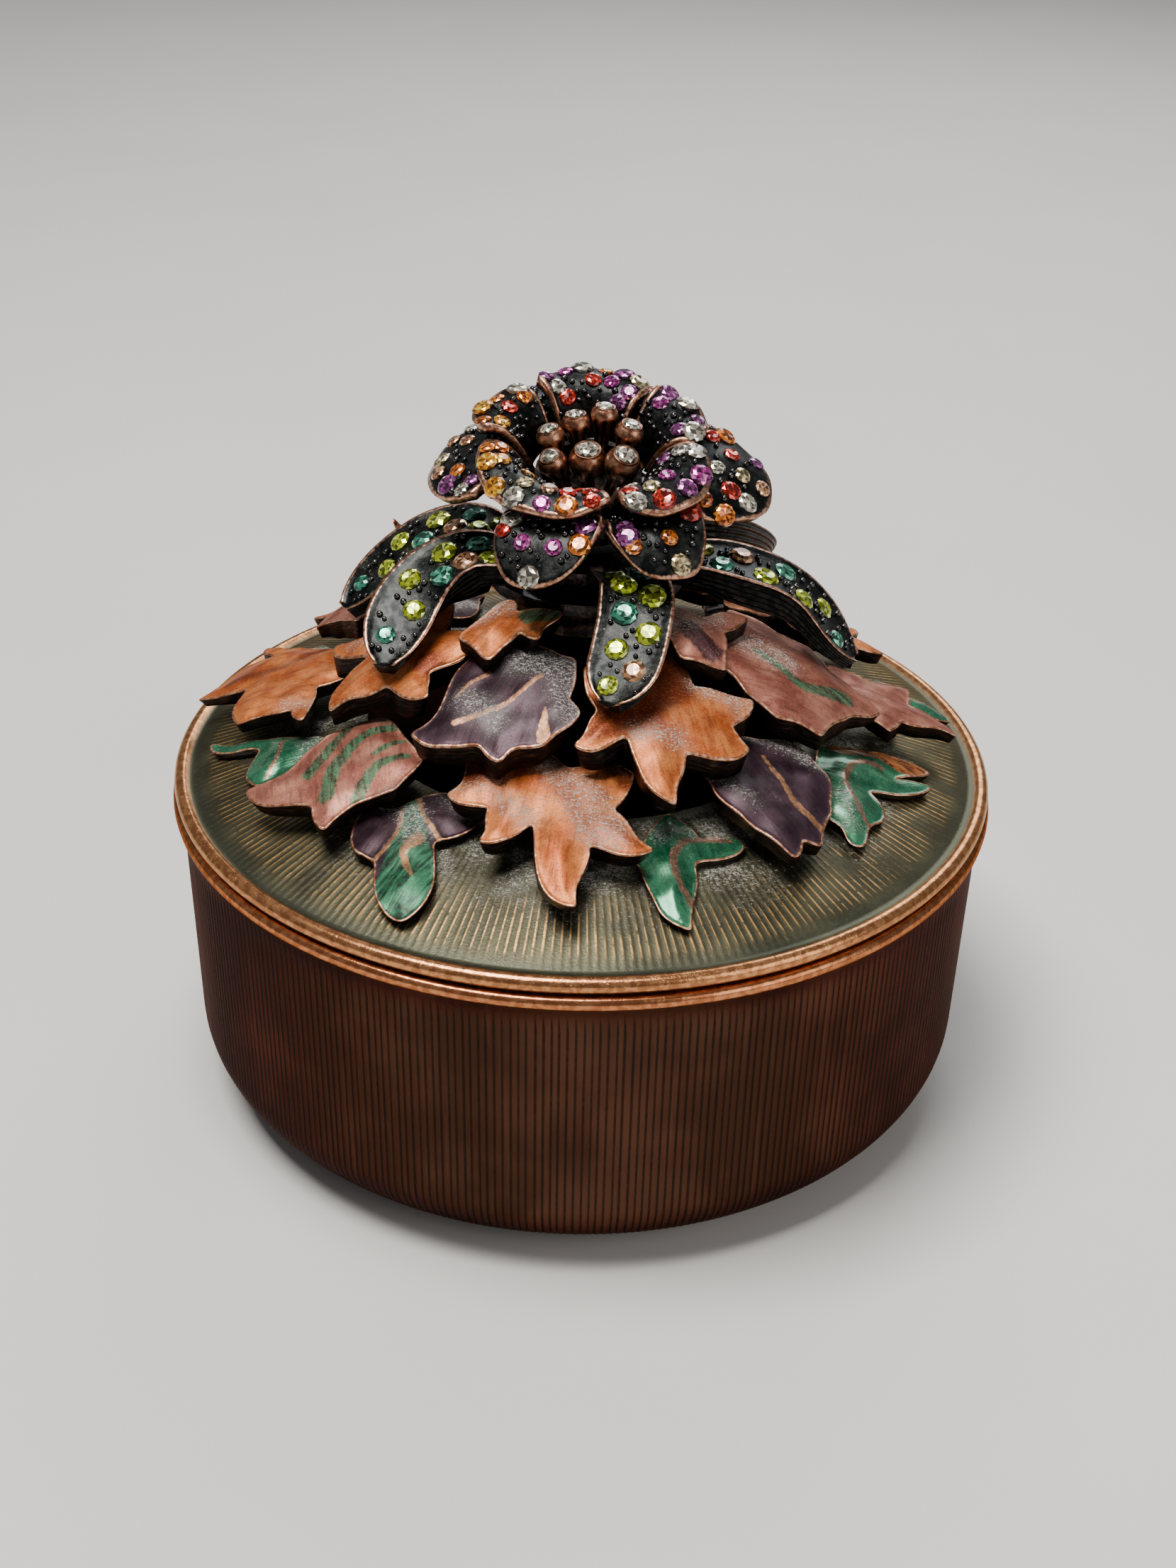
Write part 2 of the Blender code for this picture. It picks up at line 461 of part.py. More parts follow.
def lobe_lift(leaf, offset):
    """How far the leaf's raised tips lift a place on it."""
    lift = 0.0
    for corner in leaf.corners:
        if isinstance(corner, Tip) and corner.lift:
            a = math.radians(leaf.azimuth - 90 + corner.direction)
            along = (offset.x * math.cos(a) + offset.y * math.sin(a)) / (corner.reach * crown_scale)
            lift += corner.lift * max(along, 0) ** LIFT_CURVE
    return lift


def make_leaf(leaf, collection):
    """A leaf: a face and an underside that follow their tier, joined by steep sides."""
    middle = polar(leaf.azimuth, leaf.radius * crown_scale).to_2d()
    outline = leaf_outline(leaf, LEAF_STEP)
    count = len(outline)
    inner = [p * INNER_RING for p in outline[::2]] + [Vector((0, 0))]
    apart = LEAF_STEP * INNER_CLEAR
    inner = [p for p in inner if min((p - o).length for o in outline) > apart]
    edges = [(i, (i + 1) % count) for i in range(count)]
    plan, _, triangles, sources, _, _ = delaunay_2d_cdt(outline + inner, edges, [], 1, 0.001)
    used = sorted({i for t in triangles for i in t})
    rank = {i: k for k, i in enumerate(used)}
    offsets = [plan[i] for i in used]
    triangles = [[rank[i] for i in t] for t in triangles]
    rim = {source: rank[i] for i in used for source in sources[i]}

    points = []
    for offset in offsets:
        place = middle + offset
        points.append(Vector((*place, tier_face(leaf.tier, place.length) + lobe_lift(leaf, offset))))
    for offset in offsets:
        place = middle + offset * LEAF_UNDERCUT
        points.append(Vector((*place, tier_underside(leaf.tier, place.length) + lobe_lift(leaf, offset))))
    layer = len(offsets)
    faces = [tuple(t) for t in triangles] + [tuple(i + layer for i in reversed(t)) for t in triangles]
    for i, j in edges:
        faces.append((rim[i], rim[i] + layer, rim[j] + layer, rim[j]))
    solid(leaf.name, points, faces, leaf.colour, collection)


def sepal_section(sepal, t):
    """Middle of the set face, its sideways and downward directions, half width and depth at t."""
    tip_height = tier_face(2, sepal.radii[-1] * crown_scale) + TIER_GAP + SEPAL_CLEARANCE + SEPAL_TIP_DEPTH
    heights = (sepal_root, sepal_root + sepal.shoulder, sepal_root + sepal.middle, tip_height)

    def place(s):
        return polar(spline(sepal.azimuths, s), spline(sepal.radii, s) * crown_scale, spline(heights, s))

    small = 0.02
    along = (place(min(t + small, 1)) - place(max(t - small, 0))).normalized()
    side = Vector((-along.y, along.x, 0)).normalized()
    side = Matrix.Rotation(math.radians(sepal.roll) * math.sin(math.pi * t), 3, along) @ side
    down = side.cross(along).normalized()
    down = down if down.z < 0 else -down
    near_tip = max((t - SEPAL_ROUNDS_FROM) / (1 - SEPAL_ROUNDS_FROM), 0)
    round_tip = math.sqrt(max(1 - near_tip ** 2, SEPAL_TIP_WIDTH ** 2))
    swell = SEPAL_ROOT_WIDTH + (1 - SEPAL_ROOT_WIDTH) * math.sin(math.pi * min(t, 0.5))
    half_width = sepal.width / 2 * swell * round_tip
    depth = SEPAL_ROOT_DEPTH + (SEPAL_TIP_DEPTH - SEPAL_ROOT_DEPTH) * t
    depth += SEPAL_BELLY * math.sin(math.pi * t) ** 2
    return place(t), side, down, half_width, depth


def make_sepal(sepal, collection):
    """A thick curved blade with a sunk face, narrower underneath."""
    under = SEPAL_UNDER_WIDTH
    around = ((-1, 0, 0), (0, 0, 1), (1, 0, 0), (under, 1, 0), (-under, 1, 0))
    points, faces = [], []
    for t in SEPAL_STATIONS:
        middle, side, down, half_width, depth = sepal_section(sepal, t)
        for across, deep, dished in around:
            points.append(middle + side * across * half_width + down * (deep * depth + dished * SEPAL_DISH))
    ring, last = len(around), len(SEPAL_STATIONS) - 1
    for i in range(last):
        for k in range(ring):
            a, b = i * ring + k, i * ring + (k + 1) % ring
            faces.append((a, b, b + ring, a + ring))
    faces.append(tuple(range(ring)))
    faces.append(tuple(last * ring + k for k in range(ring))[::-1])
    solid(sepal.name, points, faces, "dark", collection)


def petal_point(petal, u, v):
    """A point of a petal's face about the flower's axis: u from root to rim, v from -1 to 1 across."""
    short = u * (1 - petal.rounding * abs(v) ** PETAL_ROUNDING_CURVE)
    radius, height = bezier(petal.whorl, short)
    radius += petal.reach * u ** 2 * (1 - v * v)
    spread = petal.half_angle * (1 - petal.narrowing * (1 - u))
    height += petal.shingle * v * u + petal.ripple * math.sin(PETAL_RIPPLES * math.pi * v) * u ** 3
    return polar(petal.azimuth + spread * v, radius, height)


def petal_normal(petal, u, v):
    """Outward normal of a petal's face."""
    small = 0.01
    along = petal_point(petal, u + small, v) - petal_point(petal, u - small, v)
    across = petal_point(petal, u, v + small) - petal_point(petal, u, v - small)
    return along.cross(across).normalized()


def make_petal(petal, axis, collection):
    """A curved plate of even thickness, from the cup over its crest to the rim."""
    deep, wide = PETAL_STEPS
    points = []
    for under in (0, PETAL_THICKNESS):
        for i in range(deep + 1):
            for k in range(wide + 1):
                u, v = i / deep, 2 * k / wide - 1
                points.append(petal_point(petal, u, v) - petal_normal(petal, u, v) * under)
    row, layer = wide + 1, (deep + 1) * (wide + 1)
    faces = []
    for i in range(deep):
        for k in range(wide):
            a = i * row + k
            quad = (a, a + row, a + row + 1, a + 1)
            faces += [quad, tuple(c + layer for c in quad)[::-1]]
    edge = [k for k in range(row)] + [i * row + wide for i in range(1, deep + 1)]
    edge += [deep * row + k for k in reversed(range(wide))] + [i * row for i in reversed(range(1, deep))]
    for i, a in enumerate(edge):
        b = edge[(i + 1) % len(edge)]
        faces.append((a, b, b + layer, a + layer))
    obj = solid(petal.name, points, faces, "dark", collection)
    obj.parent = axis


def make_collar(collection):
    """The ring on the upper leaves' inner ends, with a neck for the flower."""
    low = collar_flange_low - COLLAR_DEPTH
    flange = COLLAR_RADIUS + FLANGE_WIDTH
    profile = [(0, collar_top), (NECK_TOP_RADIUS, collar_top), (NECK_RADIUS, collar_top - NECK_SHOULDER),
               (NECK_RADIUS, collar_flange_top), (flange, collar_flange_top), (flange, collar_flange_low),
               (COLLAR_RADIUS, collar_flange_low), (COLLAR_RADIUS, low), (0, low)]
    turned("collar", profile, AROUND_SMALL, "dark", collection)


def make_cup(axis, collection):
    """The dish inside the petals' roots, with a flange under them, in the flower's own frame."""
    flange_top = OUTER_WHORL[0][1] - PETAL_CLEARANCE - PETAL_THICKNESS * 0.5
    rim = INNER_WHORL[0][1] + PETAL_CLEARANCE
    flange = CUP_RADIUS + CUP_FLANGE_WIDTH
    inner = CUP_RADIUS - CUP_WALL
    profile = [(0, CUP_FLOOR), (inner, CUP_FLOOR), (inner, rim), (CUP_RADIUS, rim), (CUP_RADIUS, flange_top),
               (flange, flange_top), (flange, flange_top - CUP_FLANGE_THICKNESS),
               (CUP_FOOT, -CUP_DEPTH), (0, -CUP_DEPTH)]
    obj = turned("flower_cup", profile, AROUND_SMALL, "dark", collection)
    obj.parent = axis


def make_stamen(stamen, axis, collection):
    """A stalk that widens to a round head with a flat seat, leaning out from the middle of the cup."""
    widest_base = CUP_RADIUS - CUP_WALL - STAMEN_STALK_RADIUS - PETAL_CLEARANCE
    base_spread = min(stamen.spread * STAMEN_BASE, widest_base)
    lean = (stamen.spread - base_spread) / (stamen.height - CUP_FLOOR)
    base = polar(stamen.azimuth, base_spread, CUP_FLOOR + PETAL_CLEARANCE + STAMEN_STALK_RADIUS * lean)
    top = polar(stamen.azimuth, stamen.spread, stamen.height)
    length = (top - base).length
    head = stamen.head
    ball_middle = length - head * STAMEN_BALL_DROP
    seat = head * STAMEN_SEAT
    slope = math.degrees(math.atan2(STAMEN_BALL_DROP, STAMEN_SEAT)) - STAMEN_SEAT_CHAMFER_ANGLE
    profile = [(0, length), (seat, length)]
    profile += arc((0, ball_middle), head, head, slope, STAMEN_BALL_END_ANGLE, STAMEN_BALL_STEPS)
    profile += [(STAMEN_STALK_RADIUS, ball_middle - head * STAMEN_TAPER), (STAMEN_STALK_RADIUS, 0), (0, 0)]
    obj = turned(stamen.name, profile, AROUND_STAMEN, "copper", collection)
    obj.parent = axis
    obj.location = base * MM
    obj.rotation_euler = (top - base).to_track_quat("Z", "Y").to_euler()


def main():
    for obj in list(bpy.data.objects):
        bpy.data.objects.remove(obj, do_unlink=True)
    collection = bpy.data.collections.new("trinket_box")
    bpy.context.scene.collection.children.link(collection)

    make_box(collection)
    make_lid(collection)
    for leaf in LEAVES:
        make_leaf(leaf, collection)
    make_collar(collection)
    for sepal in SEPALS:
        make_sepal(sepal, collection)

    axis = bpy.data.objects.new("flower_axis", None)
    collection.objects.link(axis)
    axis.location = (0, 0, flower_zero * MM)
    axis.rotation_euler = (math.radians(FLOWER_TILT), 0, 0)
    make_cup(axis, collection)
    for petal in PETALS:
        make_petal(petal, axis, collection)
    for stamen in STAMENS:
        make_stamen(stamen, axis, collection)


main()
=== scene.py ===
"""Looks of the round trinket box: patinated box and lid, enamelled leaves, stone-set sepals and flower.

Lengths are in millimetres until a mesh is made. The origin is the middle of the foot, Z is up, the front is
-Y, and an azimuth is measured about Z from the front, positive towards +X, as in the part's own source.
"""
import math
from collections import namedtuple
from functools import cache

import bmesh
import bpy
import numpy as np
from mathutils import Matrix, Vector
from mathutils.geometry import delaunay_2d_cdt


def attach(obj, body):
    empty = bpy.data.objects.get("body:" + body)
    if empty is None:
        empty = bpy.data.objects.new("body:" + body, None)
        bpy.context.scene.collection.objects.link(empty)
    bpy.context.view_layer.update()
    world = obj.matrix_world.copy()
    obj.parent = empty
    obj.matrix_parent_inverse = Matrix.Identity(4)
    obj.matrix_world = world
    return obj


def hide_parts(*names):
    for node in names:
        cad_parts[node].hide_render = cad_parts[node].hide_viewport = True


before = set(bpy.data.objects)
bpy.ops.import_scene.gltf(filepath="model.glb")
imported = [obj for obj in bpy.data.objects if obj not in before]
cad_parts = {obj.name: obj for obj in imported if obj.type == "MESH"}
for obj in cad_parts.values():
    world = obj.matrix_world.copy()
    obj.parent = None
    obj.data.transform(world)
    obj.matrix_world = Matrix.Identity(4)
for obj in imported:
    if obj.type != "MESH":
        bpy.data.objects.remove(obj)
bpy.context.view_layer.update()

MM = 0.001

# The box and the lid, as in the part's source
BOX_HEIGHT = 44.1
WALL_TOP_RADIUS = 54.2
WALL_TAPER = 0.7
CORNER_WIDTH = 14.8
CORNER_HEIGHT = 11.2
WALL = 2.0
FLOOR = 2.2
BOX_BEAD_RADIUS = 0.95
BOX_BEAD_PROUD = 0.15
BOX_BEAD_END_ANGLE = -75.0
SEAM = 0.3
LID_BEAD_RADIUS = 1.05
LID_BEAD_START_ANGLE = 115.0
LID_STEP = 0.3
DOME_HEIGHT = 10.0
LID_THICKNESS = 1.8
OPENING_RADIUS = 29.0
LIP_DEPTH = 3.0
LIP_WALL = 1.4
LIP_CLEARANCE = 0.3

# The crown of leaves
TIER_GAP = 0.4
LEAF_THICKNESS = (2.2, 3.0, 4.0, 2.8)
LEAF_THINNEST = 2.0
CROWN_INSET = 4.2
LEAVES_DRAWN_FOR = 50.0
CROWN_RISE = (0.0, 2.7, 13.5, 13.5)
CROWN_EDGE = (2.6, 5.4, 4.1, 7.3)
LEAF_UNDERCUT = 0.93
TIP_HANDLE = 0.46
NOTCH_HANDLE = 0.4
NOTCH_ROUND = 1.1
SOFT_TIP = 65.0
LIFT_CURVE = 5
COLLAR_RADIUS = 10.4
FLANGE_THICKNESS = 1.6
NECK_HEIGHT = 4.0

# The sepals and the flower
SEPAL_ROOT_DEPTH = 3.4
SEPAL_TIP_DEPTH = 2.2
SEPAL_BELLY = 1.8
SEPAL_DISH = 0.4
SEPAL_ROOT_WIDTH = 0.72
SEPAL_UNDER_WIDTH = 0.72
SEPAL_ROUNDS_FROM = 0.8
SEPAL_TIP_WIDTH = 0.3
SEPAL_CLEARANCE = 0.3
FLOWER_TILT = 16.0
FLOWER_LIFT = 5.5
CUP_RADIUS = 6.8
CUP_WALL = 0.8
CUP_FLOOR = 1.2
PETAL_THICKNESS = 1.2
PETAL_CLEARANCE = 0.3
PETAL_ROUNDING = 0.26
PETAL_ROUNDING_CURVE = 2.4
PETAL_RIPPLES = 2.5
STAMEN_STALK_RADIUS = 1.0
STAMEN_BASE = 0.6
STAMEN_SEAT = 0.72
STAMEN_BALL_DROP = 0.75
STAMEN_TAPER = 1.25
STAMEN_BALL_END_ANGLE = -40.0

# The flutes of the box and the raised lines of the lid
BOX_FLUTES = 350
LID_FLUTES = 296
FLUTE_SHAPE = (1.0, 0.12, 0.0, 0.12)  # depth across a flute, starting in its line
FLUTE_WANDER = 0.10  # how far a flute's line strays from its place, as a share of the pitch
FLUTE_DEPTHS = (0.7, 1.0)  # least and greatest share of the full depth
BOX_FLUTE_DEPTH = 0.10
INNER_STEPS = 8  # round the corner inside the box, and across the lid's underside
BEAD_STEPS = 9  # round a bead, and up the wall
CORNER_STEPS = 14  # round the box's lower corner
BOX_FLUTE_END = (11, 4)  # of those steps, to where the flutes end, and over which they fade
LID_FLUTE_DEPTH = -0.06  # the lid's lines stand up
LID_LINES_SHORT = 1.6  # the lid's lines end this far inside its bead
LID_LINES_FADE = 0.4  # their share halfway from there to the bead
LID_ROWS = 16  # from the opening to the lines' end
LID_BAND_FROM = 51.0  # a smooth band runs from here to the bead
FLAT_RADIUS = 2.0  # of the flat faces round the box's axis

# The leaves
OUTLINE_STEP = 0.45  # points along a leaf's outline
SMOOTHINGS = 2  # rounds of evening out that round off tips and notches
FACE_INSETS = (0.1, 0.22, 0.4, 0.7)  # rings of a leaf's face next to its rim
RING_CLEARANCE = 0.93  # share of its inset at which a ring's point may lie from the rim
FACE_GRID = 0.45  # points over the rest of the face
UNDERSIDE_GRID = 2.2
# how far a face rolls down to its rim, and over what width
PILLOWS = {"orange": (0.8, 2.0), "pink": (0.7, 1.8), "purple": (0.7, 1.8), "green": (1.2, 2.4)}
RIM_RAISE = 0.10  # the copper thread along a leaf's rim
RIM_AT = 0.16
RIM_WIDTH = 0.12
RELIEF = 0.16  # soft ups and downs of a leaf's face
RELIEF_WAVES = (6.5, 4.3, 9.0)
RELIEF_TURN = 55  # degrees between the waves
LINE_RAISE = 0.1  # painted lines stand proud
LINE_EDGE = 0.3  # and slope down over this width
SIDE_SHARES = (0.1, 0.4, 0.7, 1.0)  # rings down a leaf's sides
SIDE_WAVE = (0.05, 2.1)  # how far the sides' filed faces swell, and how fast that changes along the outline
MARK_LAYERS = ("line", "patch", "dark", "dust")
MARK_REACH = 4.0  # distance from which a mark is out of reach

# The sepals, the petals and the stamens
WIRE_WIDTH = 0.34  # copper rim of petals and sepals
WIRE_RAISE = 0.2
SEPAL_RIM_WIDTH = 1.6 * WIRE_WIDTH  # bare copper along a sepal's edge
PETAL_RIM_WIDTH = 1.9 * WIRE_WIDTH
SEPAL_STEPS = 64  # along a sepal
SEPAL_COLUMNS = 19  # across its set face
SEPAL_RIBS = 5
RIB_DEPTH = 0.14
RIB_SHINE = 0.55  # how bare the ribs' crests are, as a share of the rim
PETAL_GRID = (22, 34)
UNDER_SHINE = 0.35  # the same, for the rims of the petals' undersides
STAMEN_COLUMNS = 48
STAMEN_HEAD_STEPS = 10
STAMEN_STALK_STEPS = 4
STAMEN_AXIS = 0.01  # radius at which a stamen's ends close
STAMEN_RIBS = 8
STAMEN_RIB_DEPTH = 0.09
STAMEN_RECESS = (0.85, 0.1)  # for the stone: share of the seat's width, and depth
STAMEN_LIP = 0.06
STAMEN_SHOULDER = (1.15, 0.2)  # where the stalk meets the head: share of its radius, and height

# The stones and the grains between them
STONE_LARGE = 3.0
STONE_SMALL = 2.3
SEPAL_STONE_SCALE = 1.38  # on the widths in the table of stones
STAMEN_STONE_SCALE = 0.86  # on the seat's width
STONE_WANDER = 0.03
ROW_MARGIN = 0.5  # between a row's ends and the petal's sides
ROW_LEAST = 4.0  # a shorter row keeps the margin of one this long
STONE_RAISE = 0.1
SEPAL_STONE_RAISE = 0.05
STONE_SIDES = 11
# a stone of width 1, at its table, slope, girdle and base: radius, height, and turn in half sides
STONE_RINGS = ((0.27, 0.17, 0), (0.40, 0.11, 1), (0.5, 0.02, 0), (0.5, -0.12, 0))
STONE_TOP = 0.15
# painted light and shade over a stone's facets, with the skirt below the girdle painted dark as shade
FACET_LIGHT_AND_SHADE = (0.8, 0.9, 1.1, 1.2, 0.7, 0.2, 0.2)  # from the table out
# a facet's draw from 0 to 1 gives it a painted glint above the first number, painted shade below the second,
# else its plain tone
GLINTS_FROM = 0.82
SHADED_BELOW = 0.40
PAINTED_GLINT = 2.0
PLAIN = 0.85
PAINTED_FACET_SHADE = 0.22
# facets drawn above this are partly painted white, as a reflection
REFLECTION_FROM = 0.92
REFLECTION_SHARE = 0.2
REFLECTION_WHITE = 0.9
DARKEST = 0.004
FACET_SPREAD = (0.8, 1.2)
GRAIN = 0.75
GRAIN_GAP = 1.1  # least distance between grains, in grains
GRAIN_STONE_GAP = 0.45  # least distance from a stone, in grains
GRAIN_SIZES = (0.8, 1.25)
GRAIN_COLUMNS = 8
GRAIN_RINGS = (-35, 0, 35, 65)  # degrees above a grain's widest ring
GRAIN_RISE = 0.3
PETAL_GRAIN_TRIES = 110
PETAL_GRAIN_ROWS = (0.25, 0.68)  # from here, over this share of the petal
PETAL_GRAIN_WIDTH = 0.92
SEPAL_GRAIN_TRIES = 130
SEPAL_GRAIN_ROWS = (0.06, 0.9)
SEPAL_GRAIN_WIDTH = 0.75

# Colours, as linear red, green and blue; a pair goes from dark to light
DUST = (0.46, 0.44, 0.40)
GOLD = (0.75, 0.42, 0.14)
BROWN = ((0.044, 0.0180, 0.0105), (0.078, 0.0335, 0.0205))
BROWN_STREAK = (0.12, 0.052, 0.032)
FLUTE_BLACK = (0.007, 0.006, 0.005)
BOX_BEAD_COPPER = ((0.36, 0.125, 0.050), (0.56, 0.225, 0.098))
BOX_BEAD_SPOT = (0.10, 0.045, 0.025)
OLIVE = ((0.050, 0.047, 0.028), (0.088, 0.081, 0.047))
OLIVE_FLECK = (0.19, 0.16, 0.09)
OLIVE_BAND = (0.050, 0.056, 0.038)
LID_BEAD_COPPER = ((0.36, 0.140, 0.052), (0.58, 0.260, 0.105))
LID_BEAD_SPOT = (0.10, 0.055, 0.025)
RIM_COPPER = ((0.30, 0.115, 0.055), (0.62, 0.34, 0.21))
SIDE_METAL = ((0.007, 0.006, 0.006), (0.038, 0.021, 0.015))
SIDE_BRIGHT = (0.20, 0.11, 0.07)
# painted shade at the foot of a leaf's sides
SIDE_SHADE = (0.003, 0.0025, 0.0025)
BLACKENED = ((0.004, 0.005, 0.005), (0.020, 0.021, 0.020))
RUBBED = (0.12, 0.08, 0.06)
WIRE_COPPER = ((0.26, 0.11, 0.065), (0.60, 0.34, 0.22))
STAMEN_COPPER = ((0.20, 0.080, 0.042), (0.46, 0.23, 0.135))
STAMEN_DARK = (0.018, 0.012, 0.010)
GRAIN_METAL = ((0.016, 0.016, 0.017), (0.10, 0.095, 0.09))
DARK_METAL = ((0.018, 0.017, 0.017), (0.10, 0.065, 0.045))
FLOOR_TONES = ((0.60, 0.58, 0.55), (0.66, 0.64, 0.61))
# deep, full and pale tone of each enamel
ENAMELS = {
    "orange": ((0.10, 0.013, 0.003), (0.35, 0.070, 0.011), (0.56, 0.175, 0.045)),
    "pink": ((0.080, 0.018, 0.015), (0.23, 0.070, 0.048), (0.38, 0.155, 0.105)),
    "purple": ((0.006, 0.003, 0.005), (0.018, 0.007, 0.013), (0.048, 0.022, 0.034)),
    "green": ((0.002, 0.022, 0.011), (0.005, 0.080, 0.036), (0.040, 0.19, 0.095)),
}
VEINS = {
    "orange": (0.60, 0.24, 0.10),
    "pink": (0.28, 0.10, 0.07),
    "purple": (0.44, 0.21, 0.10),
    "green": (0.46, 0.21, 0.14),
}
GLOSS = {"orange": 0.44, "pink": 0.44, "purple": 0.42, "green": 0.24}  # roughness of each enamel
STONE_COLOURS = {
    "c": (0.52, 0.47, 0.37),
    "o": (0.76, 0.18, 0.015),
    "a": (0.85, 0.32, 0.015),
    "p": (0.26, 0.055, 0.21),
    "f": (0.42, 0.045, 0.27),
    "r": (0.62, 0.030, 0.012),
    "k": (0.62, 0.29, 0.14),
    "w": (0.55, 0.43, 0.22),
    "g": (0.42, 0.50, 0.02),
    "t": (0.06, 0.30, 0.19),
}

# The camera, as worked out from the photograph, and the lights
PHOTO_HEIGHT = 2212  # pixels
PHOTO_FOCAL_LENGTH = 3067  # pixels
SENSOR_SIZE = 36
CAMERA_LENS = PHOTO_FOCAL_LENGTH / PHOTO_HEIGHT * SENSOR_SIZE
CAMERA_DISTANCE = 297.66
CAMERA_ELEVATION = 29.49
CAMERA_TURNS = (-0.17, -0.76, -1.23)  # yaw, pitch and roll from a look at the middle of the lid's bead
# in metres from here on
CAMERA_NEAREST = 0.01
LIGHT_AIM = (0, 0, 0.05)
FLOOR_HALF = 2.0
# name, place, size, power, colour
LIGHTS = (
    ("overhead", (-0.15, -0.10, 0.75), 0.35, 10.0, (1.0, 0.98, 0.95)),
    ("fill", (0.55, -0.45, 0.35), 0.5, 2.2, (1.0, 0.97, 0.93)),
    ("back", (0.15, 0.6, 0.5), 0.4, 2.5, (0.95, 0.98, 1.0)),
)
WORLD_COLOUR = (0.92, 0.95, 1.0)
WORLD_STRENGTH = 0.2

crown_radius = WALL_TOP_RADIUS - CROWN_INSET
crown_scale = crown_radius / LEAVES_DRAWN_FOR
wall_low_radius = WALL_TOP_RADIUS - WALL_TAPER
bead_height = BOX_HEIGHT + SEAM + LID_BEAD_RADIUS
bead_circle = WALL_TOP_RADIUS + BOX_BEAD_PROUD + BOX_BEAD_RADIUS - LID_STEP - LID_BEAD_RADIUS
inside_radius = WALL_TOP_RADIUS - WALL
random = np.random.default_rng(7)

# A leaf's outline runs round its corners, which are given about the leaf's middle: direction in degrees from
# straight out, and reach. A tip has its hook (degrees it turns aside), half its angle and how far it rises.
Tip = namedtuple("Tip", "direction reach hook point lift", defaults=(0, 32, 0))
Notch = namedtuple("Notch", "direction reach")
# tier, place about the lid's axis, colour, depth of the notches that aren't given as a share of the reach
Leaf = namedtuple("Leaf", "name tier azimuth radius colour notch corners")

